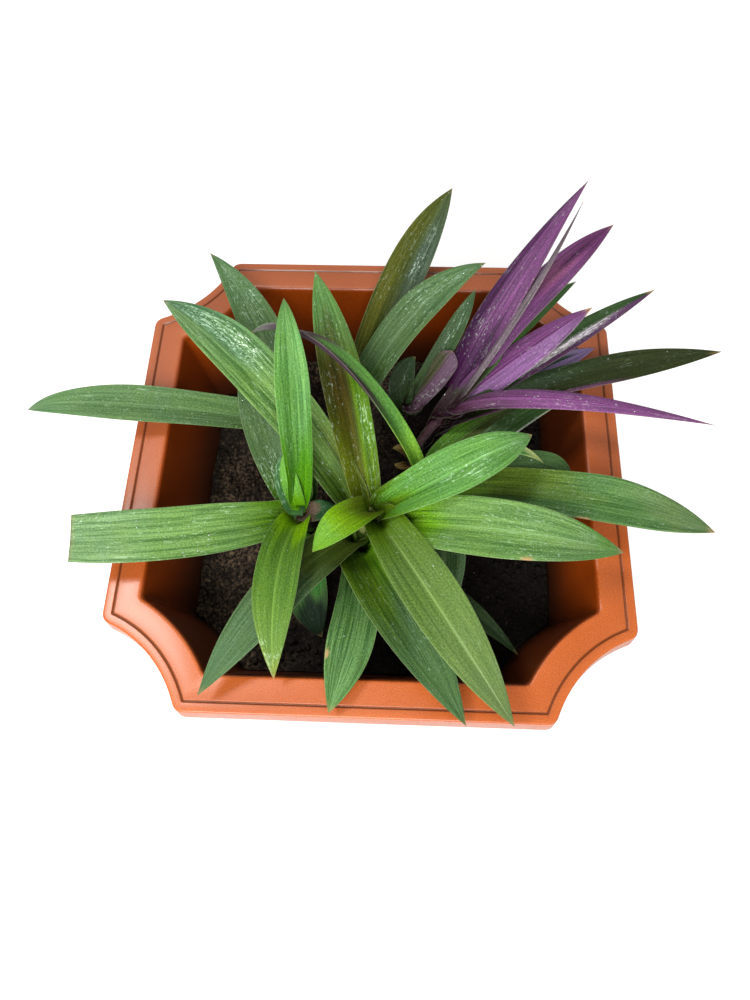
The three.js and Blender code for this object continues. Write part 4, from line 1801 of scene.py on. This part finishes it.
CENTRE = Shoot("shoot_centre", "green_leaf", (-12, -44), (2, -34, 244), 8, leaves=(
    Leaf(0.9, 104.8, 150, 44, 14, 1, 25, Tone.BRONZE, wet=0.8, striped=0.9, gloss=0.6,
        film=(Patch(0.14, 0.4, 0.45, 0.95, 0.1),), stains=(
        Stain((0.075, 0.105, 0.002), Patch(-0.2, 0.32, -1.2, 0.4, 0.15), 0.8),
        Stain((0.07, 0.18, 0.002), Patch(0.08, 0.62, 0.25, 1.2, 0.2), 0.9),
        Stain((0.045, 0.027, 0.001), Patch(0.34, 0.64, -0.6, 0.3, 0.14), 0.6),
        Stain((0.085, 0.22, 0.05), Patch(0.78, 1.0, blur=0.1), 0.7),
    )),
    Leaf(0.8, 135, 186, 39, 25, 7, 31, Tone.MID, peak=0.55, wet=0.7, striped=1.7, gloss=0.75,
        film=(Patch(0.58, 0.9, -0.1, 0.75, 0.14),), stains=(
        Stain((0.04, 0.08, 0.01), Patch(-0.2, 0.3, -1.2, 0.4, 0.12), 0.85),
        Stain((0.05, 0.07, 0.002), Patch(-0.2, 0.3, 0.4, 1.2, 0.1), 0.9),
        Stain((0.05, 0.14, 0.07), Patch(0.62, 1.0, -0.2, 1.2, 0.15), 0.7),
    )),
    Leaf(0.95, 22, 95, 39, 24, 7, 27, Tone.FRESH, peak=0.5, shade=1.03, wet=0.8, dry_tip=0.9, gloss=0.3,
        rib=0.5, film=(Patch(0.45, 0.85, 0.0, 0.7, 0.2),),
        # Painted shade: the root is darker where it sits in the crown's crevice.
        stains=(Stain((0.035, 0.065, 0.002), Patch(-0.2, 0.14), 0.8),)),
    Leaf(0.8, -9.6, 143, 33, 34, 7, 33, Tone.MID, peak=0.48, wet=0.7, dry_tip=0.9, nicks=((0.62, 0.96),),
        gloss=0.35, rib=0.5, film=(Patch(0.4, 0.62, -0.8, -0.2, 0.12),), stains=(
        Stain((0.1, 0.26, 0.001), Patch(0.1, 0.3), 0.8),
        # Painted shade: the root is darker where it sits in the crown's crevice.
        Stain((0.035, 0.065, 0.002), Patch(-0.2, 0.12), 0.8),
        Stain((0.07, 0.2, 0.02), Patch(0.84, 1.1), 0.7),
    )),
    Leaf(0.99, -57.8, 140, 17, 28, 4, 29, Tone.WARM, wet=0.2, striped=0.6, rib=1.0,
        # Painted shade: the root is darker where it sits in the crown's crevice.
        stains=(Stain((0.04, 0.08, 0.001), Patch(-0.2, 0.1), 0.8),)),
    Leaf(0.5, -60.8, 127, 38, 32, 3, 36, Tone.DEEP, peak=0.27, taper=2.4, bend=0.42, shade=0.75, wet=0.4,
        striped=1.3, rib=0.3, stains=(
        # Painted light: the root half is painted brighter, against the shade of the leaves above it.
        Stain((0.15, 0.38, 0.01), Patch(-0.2, 0.3, -1.2, 0.3, 0.14)),
        Stain((0.075, 0.18, 0.002), Patch(0.3, 0.45, -1.2, 0.15, 0.15)),
        Stain((0.06, 0.13, 0.002), Patch(-0.2, 0.55, 0.15, 1.2, 0.15)),
    )),
    Leaf(0.35, -94.2, 106, 49, 17, -8, 26, Tone.DEEP, peak=0.66, bend=0.35, shade=1.35, striped=1.9,
        nicks=((0.78, 0.9),)),
    Leaf(1, -134, 46, 24, 18, -1, 19, Tone.LIME, fold=0.5, wet=0.2, striped=0.5, stains=(
        Stain((0.065, 0.08, 0.004), Patch(-0.2, 0.33, blur=0.18), 0.8),
        Stain((0.09, 0.24, 0.02), Patch(0.62, 1.1, blur=0.15), 0.8),
    )),
    Leaf(0.62, -128.3, 130, 31, 26, 2.5, 26, Tone.BLUISH, peak=0.48, taper=2.4, bend=0.35, shade=0.58,
        striped=0.7, stains=(Stain((0.07, 0.11, 0.008), Patch(-0.2, 0.45, blur=0.15)),)),
    Leaf(0.3, -32.3, 120, 4, 15, -5, 14, Tone.DEEP, peak=0.49, shade=0.3, wet=0.3),
))

RIGHT = Shoot("shoot_right", "dark_leaf", (36, -2), (33, -7, 216), 6, leaves=(
    Leaf(0.95, 148, 125, 72, 54, 3, 15, Tone.FRESH, peak=0.5, fold=0.8, twist=80, wet=0.1, striped=0.6,
        rib=0.0, stains=(
        Stain((0.06, 0.018, 0.05), Patch(0.33, 0.62, -1.2, 0.2, 0.06)),
        Stain((0.06, 0.018, 0.05), Patch(0.56, 0.84)),
        # Painted light: the root is painted much brighter, as a pool of light on it.
        Stain((0.36, 0.75, 0.08), Patch(-0.2, 0.2, blur=0.1)),
    )),
    Leaf(0.8, -14, 164, 46, 33, 4, 28, Tone.DEEP, peak=0.58, shade=1.35, wet=0.5, striped=1.2,
        dry_tip=1.0, nicks=((0.55, 0.97),), stains=(
        Stain((0.075, 0.125, 0.006), Patch(0.12, 0.45, -1.2, 0.4, 0.14), 0.7),
        Stain((0.08, 0.125, 0.05), Patch(0.75, 1.1), 0.6),
    )),
    Leaf(0.9, -2.7, 64, 52, 31, -3, 9, Tone.FRESH, striped=0.5,
        stains=(Stain((0.35, 0.42, 0.16), Patch(0.8, 1.1)),)),
    Leaf(0.55, -88, 97, 6, 25, -8, 24, Tone.BLUISH, striped=1.5),
    Leaf(0.7, 41.5, 83, 26, 4, -10, 19.5, Tone.OLIVE, bend=0.26, shade=1.3, wet=0.6, stains=(
        Stain((0.05, 0.15, 0.008), Patch(0.1, 0.7, -1.2, 0.0, 0.15)),
        # Painted highlight: a pale glint along the upper edge near the tip.
        Stain((0.5, 0.55, 0.4), Patch(0.72, 1.0, -1.2, -0.88, 0.05)),
    )),
    Leaf(0.6, 32.5, 101, 31, 17, -1.5, 14, Tone.DEEP, bend=0.68, shade=0.7, wet=0.5,
        # Painted highlight: a pale glint along the lower edge.
        stains=(Stain((0.5, 0.55, 0.45), Patch(0.4, 0.98, 0.85, 1.2, 0.05)),)),
    Leaf(0.5, -9.8, 85, 42, 25, -6, 26, Tone.DEEP, peak=0.65, bend=0.75, shade=0.8),
))

BACK_LEFT = Shoot("shoot_back_left", "dark_leaf", (-20, 44), (-20, 44, 206), 6, leaves=(
    Leaf(0.8, 65.5, 161, 69, 15, -2, 28, Tone.OLIVE, peak=0.54, fold=0.55, shade=0.95, wet=0.5, gloss=0.6,
        film=(Patch(0.5, 0.85, 0.1, 0.6, 0.12),), stains=(
        Stain((0.075, 0.085, 0.006), Patch(0.1, 0.95, -1.2, -0.25, 0.2), 0.7),
        # Painted sheen: a bluish grey reflection over one half, towards the tip.
        Stain((0.05, 0.085, 0.06), Patch(0.4, 0.92, 0.1, 1.2, 0.2), 0.7),
    )),
    Leaf(0.95, 43, 119, 68, 18, -8, 25, Tone.BLUISH, peak=0.5, shade=0.7, wet=0.7, gloss=0.35, rib=0.6,
        film=(Patch(0.6, 0.95, -0.6, 0.4, 0.15),)),
    Leaf(0.5, -176.3, 202, 50, 32, -7, 25, Tone.BLUISH, taper=2, bend=0.73, shade=1.0, wet=0.5,
        striped=0.7),
))

PURPLE = Shoot("shoot_purple", "purple_leaf", (22, 24), (46, 46, 222), 6, sheath=MAROON, leaves=(
    Leaf(0.85, 49.4, 116, 120, 0, -6, 23, Tone.PURPLE, peak=0.38, fold=0.4, roll=180, taper=1.8,
        shade=0.92, wet=0.6, gloss=0.8, film=(Patch(0.25, 0.85, 0.2, 0.3, 0.05),), stains=(
        Stain((0.034, 0.006, 0.034), Patch(-0.2, 0.42, blur=0.14), 0.9),
        Stain((0.045, 0.012, 0.045), Patch(0.3, 1.1, 0.45, 1.2, 0.12), 0.8),
        # Painted highlight: a paler band beside the crease.
        Stain((0.15, 0.075, 0.145), Patch(0.35, 0.8, 0.0, 0.35, 0.14), 0.5),
    )),
    Leaf(0.92, 49.5, 114, 101, 8, 6, 6.5, Tone.DUSKY, peak=0.38, roll=150, taper=1.6, wet=0.4),
    Leaf(0.8, 42.2, 137, 88, 12, -6, 22, Tone.PURPLE, peak=0.66, roll=170, shade=1.0, wet=0.2, stains=(
        Stain((0.22, 0.07, 0.12), Patch(0.62, 0.82, -0.5, 0.6), 0.6),
        Stain((0.08, 0.018, 0.06), Patch(0.82, 1.1), 0.6),
    )),
    Leaf(0.95, 21.4, 86, 75, -1, -3, 21.5, Tone.PURPLE, peak=0.57, roll=180, taper=2.4, bend=0.4, wet=0.6,
        dry_tip=1.0, stains=(Stain((0.22, 0.11, 0.24), Patch(0.1, 0.95, -1.2, -0.1, 0.1), 0.7),)),
    Leaf(0.7, 27.3, 153, 66, 13, 2, 16, Tone.DEEP, peak=0.5, fold=0.4, shade=0.42, wet=0.6, dry_tip=1.0,
        gloss=0.8, film=(Patch(0.35, 0.75, 0.1, 0.6),), stains=(
        Stain((0.19, 0.065, 0.2), Patch(0.2, 1.0, 0.05)),
        # Painted highlight: a near white glossy band across part of the blade.
        Stain((0.95, 0.9, 1.0), Patch(0.35, 0.72, 0.1, 0.55, 0.14), 0.8),
    )),
    Leaf(0.75, 9.6, 174, 57, 18, -1, 19.5, Tone.OLIVE, peak=0.7, bend=0.3, shade=0.34, wet=0.3, stains=(
        Stain((0.06, 0.14, 0.05), Patch(0.2, 0.6, -1.2, 0.2, 0.2), 0.6),
        Stain((0.3, 0.12, 0.26), Patch(0.2, 0.75, 0.78)),
        Stain((0.04, 0.01, 0.025), Patch(-0.2, 0.2), 0.95),
    )),
    Leaf(1, -15, 148, 60, 26, 2, 13.5, Tone.PURPLE, peak=0.45, roll=180, taper=1.9, bend=0.15, shade=1.2,
        wet=0.9, stains=(Stain((0.07, 0.035, 0.045), Patch(-0.1, 0.35, blur=0.2), 0.7),)),
    Leaf(0.62, 42.6, 128, 59, 20, -1, 15, Tone.DEEP, peak=0.5, shade=0.9,
        stains=(Stain((0.02, 0.005, 0.012), Patch(-0.2, 0.32), 0.95),)),
    Leaf(0.66, 25, 119, 36, 7.5, -2, 15, Tone.LILAC, peak=0.6, roll=180, taper=3, wet=0.15,
        stains=(Stain((0.02, 0.06, 0.02), Patch(-0.1, 0.9, -0.1, 1.2, 0.06), 0.95),)),
), bracts=(
    Leaf(0.3, 160, 14, 9, 3, 2, 7, Tone.STRAW, fold=0.7, striped=1.6, wet=0.9),
    Leaf(0.22, 190, 11, 5, 3, -3, 6, Tone.STRAW, fold=0.7, striped=1.6, wet=0.9),
    Leaf(0.36, 130, 12, 12, 2, 1, 6, Tone.STRAW, fold=0.6, striped=1.6, wet=0.9),
))

BACK = Shoot("shoot_back", "purple_leaf", (13, 52), (20, 56, 208), 4, sheath=MAROON, leaves=(
    Leaf(0.98, 34, 34, 42, 5, 3, 16.5, Tone.YOUNG, peak=0.7, fold=0.5, roll=180, taper=4, wet=0.6,
        gloss=0.4, film=(Patch(0.2, 0.6, -0.9, -0.3),), stains=(
        Stain((0.045, 0.06, 0.015), Patch(0.2, 0.95, 0.0, 1.2, 0.2)),
        Stain((0.075, 0.045, 0.065), Patch(0.2, 1.1, -1.2, 0.0, 0.2), 0.8),
    )),
    Leaf(0.9, 51, 67, 65, 4, 3, 13.5, Tone.BLUISH, peak=0.55, fold=0.4, shade=0.38, wet=0.5, gloss=0.35,
        film=(Patch(0.2, 0.8, -0.3, 0.3),)),
    Leaf(0.8, 74, 27, 32, 3, -5, 17, Tone.BLUISH, fold=0.4, taper=2.8, shade=0.3, wet=0.6, gloss=0.6,
        film=(Patch(0.5, 0.9, -0.1, 0.3),)),
))

SHOOTS = (FRONT_LEFT, CENTRE, RIGHT, BACK_LEFT, PURPLE, BACK)


@dataclass(frozen=True)
class Dew:
    """Beads of water on the leaves: flat domes of eight sides, half sunk into them.

    Sizes are in millimetres, and places are shares along a leaf and across it.
    """

    per_area: float = 0.016
    clusters: int = 4
    cluster_low: Range = (0.15, -0.7)
    cluster_high: Range = (0.9, 0.7)
    scatter_along: float = 0.09
    scatter_across: float = 0.3
    along: Range = (0.05, 0.97)
    across: Range = (-0.94, 0.94)
    look_ahead: float = 0.002
    radius_mean: float = -1.6
    radius_spread: float = 0.45
    radius: Range = (0.1, 0.5)
    drawn_out: Range = (0.8, 2.2)
    flat: float = 0.6
    sides: int = 8
    levels: int = 3
    seed: int = 5

    def on(self, blade: Blade, dice: np.random.Generator) -> tuple[Array, Array, Array]:
        """Where beads of water stand on the face of a leaf that looks up, in a few clusters.

        Formula: their number goes with the leaf's size and wetness, their places are normal
        draws about the clusters' middles, and the logs of their radii are normal draws too.

        Args:
            blade: The leaf.
            dice: Random draw.

        Returns:
            Places, turns and sizes of the beads, in millimetres.
        """
        leaf = blade.leaf
        count = int(leaf.width * leaf.reach * leaf.wet * self.per_area)
        clusters = dice.uniform(self.cluster_low, self.cluster_high, (self.clusters, 2))
        chosen = clusters[dice.integers(0, self.clusters, count)]
        t = np.clip(dice.normal(chosen[:, 0], self.scatter_along), *self.along)
        s = np.clip(dice.normal(chosen[:, 1], self.scatter_across), *self.across)
        facing = np.where(math.cos(math.radians(leaf.roll)) > 0, 1.0, -1.0)
        here = blade.surface(t, s, facing)
        ahead = blade.surface(t + self.look_ahead, s, facing) - here
        aside = blade.surface(t, s + self.look_ahead, facing) - here
        normal = unit(np.cross(aside, ahead))
        normal = normal * np.sign(normal[:, 2:])
        first = unit(ahead)
        turns = np.stack([first, np.cross(normal, first), normal], 1)
        radius = np.clip(dice.lognormal(self.radius_mean, self.radius_spread, count), *self.radius)
        lengths = dice.uniform(*self.drawn_out, count)
        shares = np.stack([lengths, np.ones(count), np.full(count, self.flat)], -1)
        return here, turns, radius[:, None] * shares

    def ball(self) -> Shell:
        """A bead of radius 1.

        Formula: rings at equal steps of the angle from its top pole, closed by both poles.

        Returns:
            Its closed shell, of triangles only.
        """
        tilt = np.linspace(0, math.pi, self.levels + 2)[1:-1, None]
        turn = full_turn(self.sides)[None]
        x, y = np.sin(tilt) * np.cos(turn), np.sin(tilt) * np.sin(turn)
        rings = np.stack(np.broadcast_arrays(x, y, np.cos(tilt)), -1)
        points = np.concatenate([rings.reshape(-1, 3), [[0, 0, 1], [0, 0, -1]]])
        quads = grid_quads(self.levels, self.sides, closed=True)
        halves = [quads[:, [0, 1, 2]], quads[:, [0, 2, 3]]]
        faces = np.concatenate([*halves, end_fans(self.levels, self.sides)])
        return Shell(points, triangles=faces).facing_out()

    def shell(self, shoots: tuple[Shoot, ...]) -> Shell:
        """All the beads as one shell.

        Args:
            shoots: The shoots, whose leaves are gone through in order.

        Returns:
            The shell.
        """
        dice = np.random.default_rng(self.seed)
        beads = [self.on(blade, dice) for shoot in shoots for blade in shoot.blades()]
        places, turns, sizes = (np.concatenate(part) for part in zip(*beads))
        ball = self.ball()
        return scattered(ball.points, ball.triangles, places * MM, turns, sizes * MM).facing_out()


@dataclass
class Plant:
    """All the shoots, and the beads of water on their leaves."""

    shoots: tuple[Shoot, ...]
    dew: Dew = Dew()

    def finishes(self, effects: Effects) -> dict[str, Material]:
        """Builds the leaf finish of each slot.

        Args:
            effects: The node groups.

        Returns:
            The finishes by slot.
        """
        return {
            "green_leaf": LeafFinish("green_leaf").build(effects),
            "dark_leaf": LeafFinish("dark_leaf", contrast=2.1, roughness=0.42).build(effects),
            "purple_leaf": LeafFinish("purple_leaf", contrast=2.0, roughness=0.36).build(effects),
        }

    def build(self, effects: Effects) -> list[Piece]:
        """Builds the shoots in order, and then the dew.

        Args:
            effects: The node groups.

        Returns:
            The pieces of every shoot, and the dew.
        """
        skins = self.finishes(effects)
        green = StemFinish("green_stem", foot=(0.09, 0.05, 0.035), crown=(0.1, 0.13, 0.03))
        maroon = StemFinish("maroon_stem", foot=(0.04, 0.022, 0.018), crown=(0.035, 0.008, 0.02))
        green_skin, maroon_skin = green.build(effects), maroon.build(effects)
        made = []
        for shoot in self.shoots:
            stem_skin = green_skin if shoot.sheath is None else maroon_skin
            made.extend(shoot.build(skins[shoot.slot], stem_skin))
        dew = self.dew.shell(self.shoots).piece("dew_beads", WaterFinish().build())
        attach(dew, BODY)
        return made + [dew]


# Floor, light and camera


@dataclass
class Studio:
    """A pale floor, soft light and the photograph's camera. Lengths in metres, angles in degrees."""

    elevation: float = 68.14
    azimuth: float = 4.74
    roll: float = -2.93
    distance: float = 0.4149
    target: tuple[float, float, float] = (0.0018, -0.0248, 0.240)
    focal_pixels: float = 694.95
    frame_height: int = 1000
    sensor: float = 36.0
    nearest: float = 0.01
    farthest: float = 50.0
    lit_point: tuple[float, float, float] = (0.0, 0.0, 0.22)
    floor_reach: float = 6.0
    floor_level: float = -0.0004
    floor_colour: Colour = (0.88, 0.88, 0.88)
    floor_glow: float = 0.3
    sky: Colour = (0.97, 0.99, 1.0)
    sky_strength: float = 0.42

    def camera(self) -> Piece:
        """Places the camera.

        Formula: it stands back from the target by the distance, in the direction of its azimuth
        and elevation, and is rolled about its own line. Its lens is the focal length in pixels
        over the picture's height, times the sensor.

        Returns:
            The camera.
        """
        turn, lift, roll = (math.radians(angle) for angle in (self.azimuth, self.elevation, self.roll))
        back = Vector((math.sin(turn) * math.cos(lift), -math.cos(turn) * math.cos(lift), math.sin(lift)))
        level = Vector((math.cos(turn), math.sin(turn), 0.0))
        up = back.cross(level)
        right = level * math.cos(roll) + up * math.sin(roll)
        over = up * math.cos(roll) - level * math.sin(roll)
        data = bpy.data.cameras.new("camera")
        data.sensor_width, data.lens = self.sensor, self.focal_pixels / self.frame_height * self.sensor
        data.clip_start, data.clip_end = self.nearest, self.farthest
        camera = bpy.data.objects.new("camera", data)
        turned = Matrix((right, over, back)).transposed().to_4x4()
        camera.matrix_world = Matrix.Translation(Vector(self.target) + back * self.distance) @ turned
        bpy.context.scene.collection.objects.link(camera)
        bpy.context.scene.camera = camera
        return camera

    def lamp(self, name: str, place: Colour, size: float, watts: float, tint: Colour) -> Piece:
        """Adds a square lamp that faces the plant.

        Args:
            name: Its name.
            place: Where it hangs.
            size: Its side.
            watts: Its power.
            tint: Its colour.

        Returns:
            The lamp.
        """
        data = bpy.data.lights.new(name, "AREA")
        data.size, data.energy, data.color = size, watts, tint
        lamp = bpy.data.objects.new(name, data)
        lamp.location = place
        lamp.rotation_mode = "QUATERNION"
        lamp.rotation_quaternion = (Vector(self.lit_point) - Vector(place)).to_track_quat("-Z", "Y")
        bpy.context.scene.collection.objects.link(lamp)
        return lamp

    def floor(self) -> Piece:
        """Builds the floor, a wide sheet just under the planter that glows a little.

        Returns:
            The floor.
        """
        square = np.array([[-1, -1], [1, -1], [1, 1], [-1, 1]]) * self.floor_reach
        corners = np.append(square, np.full((4, 1), self.floor_level), 1)
        glow = {"Emission Color": (1.0, 1.0, 1.0), "Emission Strength": self.floor_glow}
        matt = {"Base Color": self.floor_colour, "Roughness": 0.8}
        material = new_material("pale_floor", {**matt, **glow})[0]
        floor = Shell(corners, quads=np.array([[0, 1, 2, 3]])).piece("floor", material)
        return floor

    def build(self) -> None:
        """Builds the floor, the lights and the camera."""
        self.floor()
        self.lamp("key", place=(-0.7, 0.27, 1.75), size=0.4, watts=13.0, tint=(1.0, 0.985, 0.96))
        self.lamp("front", place=(-0.15, -0.75, 0.95), size=0.7, watts=16.0, tint=(1.0, 0.99, 0.97))
        world = bpy.data.worlds.new("studio")
        bpy.context.scene.world = world
        world.use_nodes = True
        sky = world.node_tree.nodes["Background"].inputs
        sky["Color"].default_value = (*self.sky, 1.0)
        sky["Strength"].default_value = self.sky_strength
        bpy.context.scene.view_settings.view_transform = "Standard"
        self.camera()


def main() -> None:
    """Builds the studio, the planter, the soil and the plant, and reports each piece."""
    logging.basicConfig(level=logging.INFO, format="%(message)s")
    Studio().build()
    effects = Effects()
    planter = Planter()
    pieces = [planter.build(effects)]
    pieces += Soil(planter).build(effects)
    pieces += Plant(SHOOTS).build(effects)
    for piece in pieces:
        triangles = sum(len(polygon.vertices) - 2 for polygon in piece.data.polygons)
        log.info("%s: %d triangles", piece.name, triangles)


if __name__ == "__main__":
    main()
